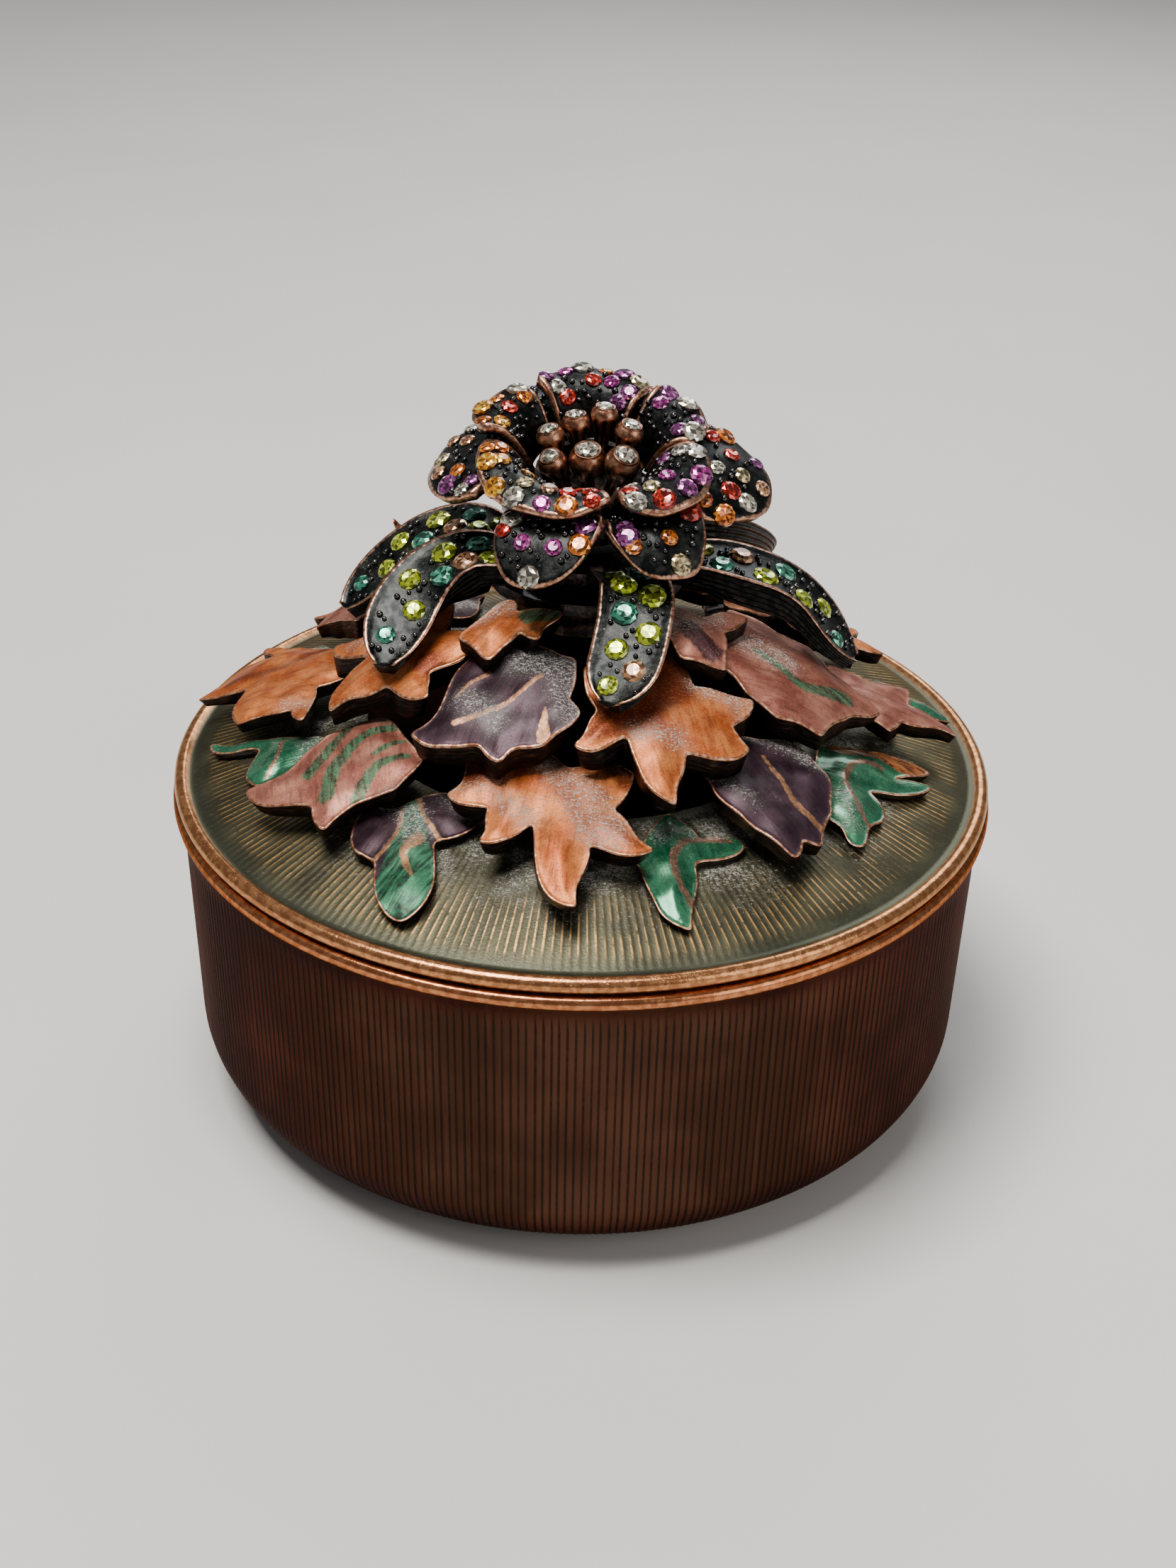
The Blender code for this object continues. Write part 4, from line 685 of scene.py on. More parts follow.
class Finish:
    """A material whose Principled shader is fed by nodes."""

    def __init__(self, name, coat=0.0, coat_roughness=0.1, edge_tint=(1, 1, 1)):
        self.material = bpy.data.materials.new(name)
        self.material.use_nodes = True
        self.tree = self.material.node_tree
        self.shader = self.tree.nodes["Principled BSDF"]
        self.place = self.node("TexCoord").outputs["Object"]
        self.shader.inputs["Coat Weight"].default_value = coat
        self.shader.inputs["Coat Roughness"].default_value = coat_roughness
        self.shader.inputs["Specular Tint"].default_value = (*edge_tint, 1.0)

    def feed(self, socket, value):
        """Joins a socket to another, or sets its number, vector or colour."""
        if isinstance(value, bpy.types.NodeSocket):
            self.tree.links.new(value, socket)
        elif socket.type == "RGBA":
            socket.default_value = (*value, 1.0)
        else:
            socket.default_value = value

    def node(self, kind, **values):
        """A new node with its inputs fed by name, an underscore standing for a space."""
        node = self.tree.nodes.new("ShaderNode" + kind)
        for name, value in values.items():
            self.feed(node.inputs[name.replace("_", " ")], value)
        return node

    def math(self, operation, a, b, clamp=False):
        node = self.node("Math")
        node.operation = operation
        node.use_clamp = clamp
        self.feed(node.inputs[0], a)
        self.feed(node.inputs[1], b)
        return node.outputs[0]

    def plus(self, a, b, clamp=False):
        return self.math("ADD", a, b, clamp)

    def times(self, result, *values):
        for value in values:
            result = self.math("MULTIPLY", result, value)
        return result

    def ramp(self, value, low, high):
        """0 below low and 1 above high, smooth between; low may be the larger."""
        node = self.node("MapRange", Value=value, From_Min=low, From_Max=high)
        node.interpolation_type = "SMOOTHSTEP"
        return node.outputs["Result"]

    def mix(self, share, a, b):
        """Between two colours, which a mix node takes at its inputs 6 and 7 and gives at its output 2."""
        node = self.node("Mix")
        node.data_type = "RGBA"
        for number, value in ((0, share), (6, a), (7, b)):
            self.feed(node.inputs[number], value)
        return node.outputs[2]

    def blend(self, share, a, b):
        """Between two numbers, which a mix node takes at its inputs 2 and 3."""
        node = self.node("Mix")
        node.data_type = "FLOAT"
        for number, value in ((0, share), (2, a), (3, b)):
            self.feed(node.inputs[number], value)
        return node.outputs[0]

    def tint(self, colour, other, strength, value, low, high):
        """A colour turned towards another, by up to this strength as value goes from low to high."""
        return self.mix(self.times(self.ramp(value, low, high), strength), colour, other)

    def scaled(self, scale):
        """Places on the piece, scaled along its axes."""
        return self.node("Mapping", Vector=self.place, Scale=scale).outputs[0]

    def noise(self, size, detail=3.0, stretch=(1, 1, 1), warp=0.0):
        """Noise with features of about this size in millimetres, stretched by its axes."""
        place = self.scaled(tuple(1.0 / (size * MM * s) for s in stretch))
        return self.node("TexNoise", Vector=place, Scale=1.0, Detail=detail, Distortion=warp).outputs[0]

    def flow(self, first, second, detail):
        """Noise over two attributes, each given with the features per millimetre along it."""
        joined = self.node("CombineXYZ")
        for socket, (name, scale) in zip(joined.inputs, (first, second)):
            self.feed(socket, self.times(self.attribute(name), scale))
        place = joined.outputs[0]
        return self.node("TexNoise", Vector=place, Scale=1.0, Detail=detail, Distortion=0.4).outputs[0]

    def cells(self, size):
        """A number for each of many cells of about this size in millimetres."""
        cell = self.node("TexVoronoi", Vector=self.scaled((1.0 / (size * MM),) * 3), Scale=1.0)
        return self.node("SeparateColor", Color=cell.outputs["Color"]).outputs[0]

    def attribute(self, name, output="Fac"):
        node = self.node("Attribute")
        node.attribute_name = name
        return node.outputs[output]

    def up(self):
        """How far the surface faces upwards."""
        return self.node("SeparateXYZ", Vector=self.node("NewGeometry").outputs["Normal"]).outputs["Z"]

    def axis_distance(self):
        """Distance from the vertical axis in millimetres."""
        node = self.node("VectorMath")
        node.operation = "LENGTH"
        self.feed(node.inputs[0], self.scaled((1 / MM, 1 / MM, 0)))
        return node.outputs["Value"]

    def bump(self, height, depth):
        """Bumps this deep in millimetres where height goes from 0 to 1."""
        node = self.node("Bump", Height=height, Distance=depth * MM)
        self.feed(self.shader.inputs["Normal"], node.outputs[0])

    def set(self, colour, roughness, metallic):
        for name, value in (("Base Color", colour), ("Roughness", roughness), ("Metallic", metallic)):
            self.feed(self.shader.inputs[name], value)
        return self.material


def with_dust(f, colour, roughness, metallic, cover):
    """Lays grey lint over a finish, as thick as cover says: a thin haze and short fibres."""
    cover = f.times(cover, f.ramp(f.up(), 0.15, 0.75))
    fibres = f.math("MAXIMUM", f.noise(0.26, 2.0, warp=1.0), f.noise(0.22, 1.0, (3.0, 0.7, 1), 1.5))
    lint = f.ramp(f.plus(fibres, f.times(cover, 0.17)), 0.70, 0.83)
    amount = f.plus(f.times(lint, f.ramp(cover, 0.0, 0.3), 0.75), f.times(cover, 0.07), clamp=True)
    covered = f.mix(amount, colour, DUST)
    return covered, f.blend(amount, roughness, 0.95), f.blend(amount, metallic, 0.0), lint


def worn_bead(f, copper, low, high, spot):
    """The colour of a bead: bright worn copper with dark spots."""
    bright = f.mix(f.ramp(f.noise(0.9, 4.0), low, high), *copper)
    return f.tint(bright, spot, 0.6, f.noise(0.5), 0.66, 0.76)


def patina_finish():
    """Box: dark reddish-brown copper with black lines in the flutes and a bright worn bead."""
    f = Finish("copper_patina", coat=0.03, coat_roughness=0.3, edge_tint=(0.36, 0.24, 0.18))
    bead = f.attribute("bead")
    clouds = f.noise(16.0)
    base = f.mix(f.ramp(clouds, 0.38, 0.66), *BROWN)
    base = f.tint(base, BROWN_STREAK, 0.25, f.noise(1.1, 4.0, (1, 1, 18)), 0.54, 0.76)
    uneven = f.blend(f.noise(2.6, 3.0, (1, 1, 0.3)), 0.55, 1.0)
    base = f.tint(base, FLUTE_BLACK, uneven, f.attribute("line"), 0.12, 0.62)
    colour = f.mix(bead, base, worn_bead(f, BOX_BEAD_COPPER, 0.40, 0.62, BOX_BEAD_SPOT))
    rough = f.blend(bead, f.blend(clouds, 0.32, 0.46), 0.22)
    f.bump(f.noise(0.25), 0.02)
    return f.set(colour, rough, 0.92)


def lid_finish():
    """Lid: dark olive patina, thin gold on the raised lines, dust under the leaves, a bright bead."""
    f = Finish("olive_patina", coat=0.15, coat_roughness=0.3, edge_tint=(0.75, 0.70, 0.55))
    bead = f.attribute("bead")
    radius = f.axis_distance()
    clouds = f.noise(8.0)
    base = f.mix(f.ramp(clouds, 0.36, 0.66), *OLIVE)
    base = f.tint(base, OLIVE_FLECK, 0.35, f.noise(0.5, 4.0), 0.56, 0.76)
    base = f.tint(base, OLIVE_BAND, 0.6, radius, LID_BAND_FROM, LID_BAND_FROM + 0.9)
    breaks = f.times(f.ramp(f.noise(7.0, 2.0), 0.36, 0.54), f.ramp(f.noise(0.9), 0.30, 0.50))
    past_leaves = f.ramp(f.plus(radius, f.times(clouds, 6.0)), 43.5, 49.0)
    before_band = f.ramp(radius, LID_BAND_FROM, LID_BAND_FROM - 1.5)
    worn = f.times(f.ramp(f.attribute("line"), 0.36, 0.76), breaks, past_leaves, before_band)
    colour = f.mix(f.times(worn, 0.9), base, GOLD)
    colour = f.mix(bead, colour, worn_bead(f, LID_BEAD_COPPER, 0.42, 0.6, LID_BEAD_SPOT))
    rough = f.blend(bead, f.blend(worn, f.blend(clouds, 0.34, 0.46), 0.3), 0.22)
    under_leaves = f.ramp(f.plus(radius, f.times(clouds, 14.0)), 56.0, 43.0)
    cover = f.plus(f.times(under_leaves, f.ramp(f.noise(5.0), 0.3, 0.6)), 0.08)
    colour, rough, metallic, lint = with_dust(f, colour, rough, 0.9, cover)
    f.bump(f.plus(f.noise(0.3), f.times(lint, 0.6)), 0.03)
    return f.set(colour, rough, metallic)


@cache
def enamel_finish(main, second):
    """Leaf: brushed enamel with flecks painted as glints, painted lines and patches, painted shade with grime
    in its dark marks, copper rim, dark filed sides painted darker towards the underside, grey lint.
    """
    deep, full, pale = ENAMELS[main]
    second_deep, second_full, second_pale = ENAMELS[second]
    vein = VEINS[main]
    gloss = GLOSS[main]
    name = "_".join(["enamel", main] + [second] * (second != main))
    f = Finish(name, coat=max(0.05, 0.9 - 2 * gloss), coat_roughness=0.15, edge_tint=(0.8, 0.7, 0.65))
    inset = f.attribute("inset")
    face = f.attribute("face")
    broad = f.noise(4.0)
    fine = f.noise(0.7)
    brushed = f.flow(("across", 1.6), ("along", 0.22), 4.0)

    # The enamel, paler where its edge has worn, darker in its dark marks, which are painted shade with some
    # grime, and in random mottling
    colour = f.mix(f.ramp(broad, 0.36, 0.66), full, pale)
    colour = f.tint(colour, deep, 0.40, brushed, 0.50, 0.36)
    colour = f.tint(colour, deep, 0.30, f.noise(1.6, 4.0), 0.50, 0.36)
    colour = f.tint(colour, pale, 0.35, brushed, 0.54, 0.70)
    worn = f.times(f.ramp(inset, 1.5, 0.35), f.ramp(fine, 0.40, 0.62))
    colour = f.mix(f.times(worn, 0.5), colour, pale)
    colour = f.tint(colour, deep, 0.85, f.plus(f.attribute("dark"), f.times(broad, 1.6)), 2.0, 0.2)

    # The patches of the second colour and the painted lines, with uneven edges
    uneven = f.times(f.math("SUBTRACT", fine, 0.5), 0.9)
    painted = f.mix(f.ramp(fine, 0.40, 0.6), second_deep, second_full)
    painted = f.mix(f.ramp(brushed, 0.40, 0.64), painted, second_pale)
    colour = f.tint(colour, painted, 0.9, f.plus(f.attribute("patch"), uneven), 0.22, -0.22)
    line = f.ramp(f.plus(f.attribute("line"), f.times(uneven, 0.5)), 0.12, -0.06)
    vein_tone = f.mix(f.ramp(fine, 0.35, 0.65), vein, tuple(v * 0.55 for v in vein))
    colour = f.mix(f.times(line, 0.78), colour, vein_tone)
    # flecks in the enamel, painted into the colour as pale glints and dark specks; they also roughen the bump
    flecks_and_glints = f.cells(0.14)
    colour = f.tint(colour, pale, 0.40, flecks_and_glints, 0.70, 1.0)
    colour = f.tint(colour, deep, 0.38, flecks_and_glints, 0.32, 0.0)

    # The copper rim and the sides with their file marks, the sides painted darker towards the underside as
    # shade
    rim = f.times(f.ramp(f.math("SUBTRACT", inset, f.times(fine, 0.26)), 0.18, 0.02), face)
    colour = f.mix(rim, colour, f.mix(f.ramp(fine, 0.42, 0.6), *RIM_COPPER))
    files = f.flow(("girth", 0.55), ("depth", 9.0), 3.0)
    side = f.mix(f.ramp(files, 0.42, 0.66), *SIDE_METAL)
    side = f.tint(side, SIDE_BRIGHT, f.times(f.ramp(fine, 0.45, 0.65), 0.5), files, 0.60, 0.74)
    side = f.tint(side, SIDE_SHADE, 0.85, f.attribute("depth"), 0.15, 0.9)
    on_side = f.math("SUBTRACT", 1.0, f.ramp(face, 0.35, 0.65))
    colour = f.mix(on_side, colour, side)
    metal = f.math("MAXIMUM", rim, on_side)
    rough = f.blend(metal, f.blend(broad, gloss - 0.05, gloss + 0.08), 0.4)
    metallic = f.blend(metal, f.blend(line, 0.55, 0.8), 0.95)

    settled = f.times(f.ramp(f.plus(f.attribute("dust"), f.times(broad, 2.0)), 2.6, -0.6), face)
    haze = f.times(f.ramp(f.attribute("share"), 0.6, 0.1), f.ramp(broad, 0.4, 0.6), 0.3)
    colour, rough, metallic, lint = with_dust(f, colour, rough, metallic, f.plus(settled, haze, clamp=True))
    relief = f.plus(f.times(brushed, 0.5), f.times(flecks_and_glints, 0.12))
    relief = f.plus(relief, f.plus(f.times(files, on_side, 1.6), f.times(lint, 0.4)))
    f.bump(relief, 0.09)
    return f.set(colour, rough, metallic)


def set_metal_finish(name, dust):
    """Sepals and petals: blackened metal with copper rims, lighter where the plate has rubbed."""
    f = Finish(name, coat=0.06, coat_roughness=0.15)
    wear = f.noise(0.6, 4.0)
    body = f.mix(f.ramp(f.noise(1.2, 4.0), 0.4, 0.65), *BLACKENED)
    body = f.tint(body, RUBBED, 0.3, wear, 0.64, 0.75)
    copper = f.mix(f.ramp(wear, 0.38, 0.62), *WIRE_COPPER)
    uneven = f.times(f.math("SUBTRACT", wear, 0.5), 0.6)
    bare = f.ramp(f.plus(f.attribute("rim"), uneven), 0.45, 0.75)
    colour = f.mix(bare, body, copper)
    rough = f.blend(bare, 0.40, 0.32)
    cover = f.times(f.ramp(f.noise(3.0), 0.4, 0.65), dust)
    colour, rough, metallic, lint = with_dust(f, colour, rough, 0.95, cover)
    f.bump(f.plus(f.noise(0.35), f.times(lint, 0.5)), 0.04)
    return f.set(colour, rough, metallic)


def copper_finish():
    """Stamens: warm worn copper, dark in the ribs."""
    f = Finish("worn_copper", coat=0.3, coat_roughness=0.2)
    wear = f.noise(0.9, 4.0)
    colour = f.mix(f.ramp(wear, 0.4, 0.62), *STAMEN_COPPER)
    colour = f.mix(f.ramp(f.attribute("rim"), 0.6, 0.2), colour, STAMEN_DARK)
    f.bump(f.noise(0.3), 0.03)
    return f.set(colour, f.blend(wear, 0.24, 0.4), 0.95)


def grain_finish():
    """Metal grains between the stones."""
    f = Finish("grains", coat=0.4, coat_roughness=0.15)
    wear = f.noise(0.8, 2.0)
    return f.set(f.mix(f.ramp(wear, 0.4, 0.6), *GRAIN_METAL), f.blend(wear, 0.18, 0.3), 1.0)


def stone_finish():
    """Cut glass stones on foil: the colour comes with each facet, with painted glints, white reflections and
    shade.
    """
    f = Finish("set_stones", coat=0.5, coat_roughness=0.05)
    f.shader.inputs["IOR"].default_value = 1.6
    rough = f.blend(f.ramp(f.noise(0.5), 0.5, 0.7), 0.08, 0.22)
    return f.set(f.attribute("tone", "Color"), rough, 0.6)


def dark_metal_finish():
    """Collar and cup: dark metal, browner where it has rubbed."""
    f = Finish("dark_metal", coat=0.2)
    wear = f.noise(0.8, 4.0)
    f.bump(f.noise(0.4), 0.05)
    return f.set(f.mix(f.ramp(wear, 0.45, 0.7), *DARK_METAL), f.blend(wear, 0.3, 0.5), 0.95)


# The box and the lid

def arc(centre, radius_x, radius_z, start, end, steps):
    """Points on an elliptic arc in the profile plane, angles in degrees from +X."""
    angles = [math.radians(start + (end - start) * i / steps) for i in range(steps + 1)]
    return [(centre[0] + radius_x * math.cos(a), centre[1] + radius_z * math.sin(a)) for a in angles]


def line(start, end, steps):
    """Points from start up to, not at, end."""
    return [(start[0] + (end[0] - start[0]) * i / steps, start[1] + (end[1] - start[1]) * i / steps)
            for i in range(steps)]


def flute_columns(flutes):
    """Azimuths of the columns round a shell with so many flutes, and how deep they are there."""
    shape = np.array(FLUTE_SHAPE)
    starts = np.arange(flutes) + random.uniform(-FLUTE_WANDER, FLUTE_WANDER, flutes)
    widths = np.roll(starts, -1) - starts
    widths[-1] += flutes
    columns = starts[:, None] + widths[:, None] * np.arange(len(shape)) / len(shape)
    depth = shape * random.uniform(*FLUTE_DEPTHS, flutes)[:, None]
    return columns.ravel() * 360 / flutes, depth.ravel()


def turned_piece(node, name, finish, profile, fluted, beaded, flutes, depth):
    """A turned shell, as fluted and beaded as its profile's lists say, closed if it ends off the axis."""
    closed = profile[-1][0] > FLAT_RADIUS
    azimuths, cut = flute_columns(flutes)
    ring = np.array(profile)
    along = np.roll(ring, -1, 0) - np.roll(ring, 1, 0)
    out = np.stack((-along[:, 1], along[:, 0]), 1)
    out /= np.linalg.norm(out, axis=1)[:, None] + 1e-9
    share = np.array(fluted)[:, None]
    radii = ring[:, :1] - out[:, :1] * share * cut * depth
    heights = ring[:, 1:] - out[:, 1:] * share * cut * depth
    points = polar(azimuths[None, :], radii, heights)
    rows, columns = points.shape[:2]
    faces = grid_faces(rows, columns, closed=True)
    if closed:
        last = (rows - 1) * columns
        faces += [(last + k, last + (k + 1) % columns, (k + 1) % columns, k) for k in range(columns)]
    else:
        faces += end_faces(rows, columns)
    level = np.broadcast_to(cut, (rows, columns)) * share
    attributes = {"line": level, "bead": np.broadcast_to(np.array(beaded, float)[:, None], (rows, columns))}
    return make_piece(name, points.reshape(-1, 3), faces, finish, node, attributes)


def make_box():
    """The hollow base: inner face, rim, bead, fluted wall and lower corner, foot."""
    inner_low = wall_low_radius - WALL
    inner_corner = (CORNER_WIDTH - WALL, CORNER_HEIGHT - FLOOR * 0.5)
    inner_centre = (inner_low - inner_corner[0], FLOOR + inner_corner[1])
    bead_centre = (WALL_TOP_RADIUS + BOX_BEAD_PROUD, BOX_HEIGHT - BOX_BEAD_RADIUS)
    foot_centre = (wall_low_radius - CORNER_WIDTH, CORNER_HEIGHT)
    wall_start = (WALL_TOP_RADIUS, BOX_HEIGHT - 2 * BOX_BEAD_RADIUS - BOX_BEAD_PROUD)
    inner = [(FLAT_RADIUS, FLOOR)] + arc(inner_centre, *inner_corner, -90, 0, INNER_STEPS)
    inner += [(inside_radius, BOX_HEIGHT)]
    bead = arc(bead_centre, BOX_BEAD_RADIUS, BOX_BEAD_RADIUS, 90, BOX_BEAD_END_ANGLE, BEAD_STEPS)
    wall = line(wall_start, (wall_low_radius, CORNER_HEIGHT), BEAD_STEPS)
    corner = arc(foot_centre, CORNER_WIDTH, CORNER_HEIGHT, 0, -90, CORNER_STEPS)
    foot = [(FLAT_RADIUS, 0.0)]
    fluted = [0.0] * len(inner + bead) + [0.0] + [1.0] * (len(wall) - 1)
    end, fade = BOX_FLUTE_END
    fluted += [min(1.0, max(0.0, (end - i) / fade)) for i in range(len(corner))] + [0.0]
    beaded = [0.0] * len(inner) + [1.0] * len(bead) + [0.0] * len(wall + corner + foot)
    profile = inner + bead + wall + corner + foot
    turned_piece("box", "box_fluted", patina_finish(), profile, fluted, beaded, BOX_FLUTES,
                 BOX_FLUTE_DEPTH)


def make_lid():
    """The pierced dome: raised lines outside, bead, lip and plain underside."""
    lip_outer = inside_radius - LIP_CLEARANCE
    lip_inner = lip_outer - LIP_WALL
    ledge = bead_height - LID_BEAD_RADIUS
    bead_inner = bead_circle - LID_BEAD_RADIUS
    radii = [*np.linspace(OPENING_RADIUS, bead_inner - LID_LINES_SHORT, LID_ROWS)]
    radii += [bead_inner - LID_LINES_SHORT / 2, bead_inner]
    outer = [(r, dome(r)) for r in radii]
    bead_centre = (bead_circle, bead_height)
    bead = arc(bead_centre, LID_BEAD_RADIUS, LID_BEAD_RADIUS, LID_BEAD_START_ANGLE, -90, BEAD_STEPS)
    lip = [(lip_outer, ledge), (lip_outer, ledge - LIP_DEPTH), (lip_inner, ledge - LIP_DEPTH)]
    under = [(r, dome(r) - LID_THICKNESS) for r in np.linspace(lip_inner, OPENING_RADIUS, INNER_STEPS)]
    fluted = [0.0] + [1.0] * (LID_ROWS - 1) + [LID_LINES_FADE, 0.0] + [0.0] * len(bead + lip + under)
    beaded = [0.0] * len(outer) + [1.0] * len(bead) + [0.0] * len(lip + under)
    profile = outer + bead + lip + under
    turned_piece("lid", "lid_lined", lid_finish(), profile, fluted, beaded, LID_FLUTES,
                 LID_FLUTE_DEPTH)


# The leaves

def leaf_corners(leaf):
    """A leaf's tips and notches, with a notch put in where two sharp tips follow each other."""
    corners = []
    for one, two in zip(leaf.corners, leaf.corners[1:] + leaf.corners[:1]):
        corners.append(one)
        if isinstance(one, Tip) and isinstance(two, Tip) and max(one.point, two.point) < SOFT_TIP:
            turn = (two.direction - one.direction) % 360
            reach = 2 * one.reach * two.reach / (one.reach + two.reach)
            corners.append(Notch(one.direction + turn / 2, reach * leaf.notch))
    return corners


def normalized(vector):
    return vector / (np.linalg.norm(vector) + 1e-9)


def leaf_outline(leaf):
    """Outline about the leaf's middle, as in the part's source but finer and softened."""
    corners = leaf_corners(leaf)
    count = len(corners)
    base = leaf.azimuth - 90
    places = [unit(base + c.direction) * c.reach * crown_scale for c in corners]

    def guide(i, way, chord):
        corner, here = corners[i], places[i]
        if isinstance(corner, Tip):
            heading = base + corner.direction + corner.hook - way * corner.point
            return here - unit(heading) * chord * TIP_HANDLE
        ahead = normalized(places[(i + way) % count] - here)
        behind = normalized(places[(i - way) % count] - here)
        return here + normalized(ahead + (ahead + behind) * NOTCH_ROUND / 2) * chord * NOTCH_HANDLE

    outline = []
    for i in range(count):
        j = (i + 1) % count
        chord = np.linalg.norm(places[j] - places[i])
        steps = max(4, round(chord / OUTLINE_STEP))
        guides = (places[i], guide(i, 1, chord), guide(j, -1, chord), places[j])
        outline.append(bezier(guides, np.arange(steps) / steps))
    outline = np.concatenate(outline)
    for _ in range(SMOOTHINGS):
        outline = (np.roll(outline, 1, 0) + 2 * outline + np.roll(outline, -1, 0)) / 4
    return outline


def chain_distance(points, chain, widths=None):
    """Distance from each point to a chain of points, less the chain's half width there."""
    start, run = chain[:-1], chain[1:] - chain[:-1]
    between = points[:, None, :] - start
    share = np.clip((between * run).sum(2) / ((run * run).sum(1) + 1e-12), 0, 1)
    distance = np.linalg.norm(between - share[..., None] * run, axis=2)
    if widths is not None:
        distance = distance - (widths[:-1] + share * (widths[1:] - widths[:-1]))
    return distance.min(1)


def inside(points, outline):
    """Whether each point lies inside the outline."""
    x, y = points[:, 0][:, None], points[:, 1][:, None]
    ax, ay = outline[:, 0], outline[:, 1]
    bx, by = np.roll(ax, -1), np.roll(ay, -1)
    with np.errstate(divide="ignore", invalid="ignore"):
        crosses = ((ay > y) != (by > y)) & (x < (bx - ax) * (y - ay) / (by - ay) + ax)
    return crosses.sum(1) % 2 == 1


def fill(outline, inner):
    """Triangles over an outline and points inside it; the outline's points keep their numbers."""
    count = len(outline)
    coords = [Vector(p) for p in np.concatenate((outline, inner))]
    edges = [(i, (i + 1) % count) for i in range(count)]
    plan, _, triangles, sources, _, _ = delaunay_2d_cdt(coords, edges, [], 1, 1e-5)
    back = [s[0] if s else -1 for s in sources]
    return [tuple(back[i] for i in t) for t in triangles if all(back[i] >= 0 for i in t)]


def grid_inside(outline, spacing, clear):
    """Staggered grid of points inside an outline, this far from its edge."""
    low, high = outline.min(0), outline.max(0)
    rows = np.arange(low[1], high[1], spacing * 0.866)
    columns = np.arange(low[0], high[0], spacing)
    points = np.array([(x + spacing / 2 * (i % 2), y) for i, y in enumerate(rows) for x in columns])
    points = points[inside(points, outline)]
    return points[chain_distance(points, np.vstack((outline, outline[:1]))) > clear]


def mark_distance(leaf, offsets, layer):
    """Signed distance from each place on a leaf to its marks of one layer, negative on them."""
    best = np.full(len(offsets), MARK_REACH)
    for kind, wide_start, wide_end, *places in MARKS.get(leaf.name, MARKS[leaf.colour]):
        if kind == layer:
            knots = [unit(leaf.azimuth - 90 + direction) * reach * crown_scale for direction, reach in places]
            steps = np.linspace(0, 1, 8 * len(knots))
            chain = np.array([spline(knots, t) for t in steps])
            widths = wide_start + (wide_end - wide_start) * steps
            best = np.minimum(best, chain_distance(offsets, chain, widths))
    return best


def lobe_lift(leaf, offsets):
    """How far the leaf's raised tips lift places on it."""
    lift = np.zeros(len(offsets))
    for corner in leaf.corners:
        if isinstance(corner, Tip) and corner.lift:
            along = offsets @ unit(leaf.azimuth - 90 + corner.direction) / (corner.reach * crown_scale)
            lift += corner.lift * np.maximum(along, 0) ** LIFT_CURVE
    return lift


def leaf_face_height(leaf, middle, offsets, edge):
    """Heights of a leaf's face: it follows its tier, rolls down to a raised rim and has soft relief."""
    roll_depth, roll_width = PILLOWS[leaf.colour]
    height = tier_face(leaf.tier, np.linalg.norm(middle + offsets, axis=1)) + lobe_lift(leaf, offsets)
    height = height - roll_depth * np.exp(-(edge / roll_width) ** 2)
    height += RIM_RAISE * np.exp(-((edge - RIM_AT) / RIM_WIDTH) ** 2)
    for number, wave in enumerate(RELIEF_WAVES):
        along = offsets @ unit(leaf.azimuth * 3 + RELIEF_TURN * number)
        swing = np.sin(along * 2 * np.pi / wave + leaf.azimuth + number)
        height += RELIEF * (swing - 1) / 2
    return height


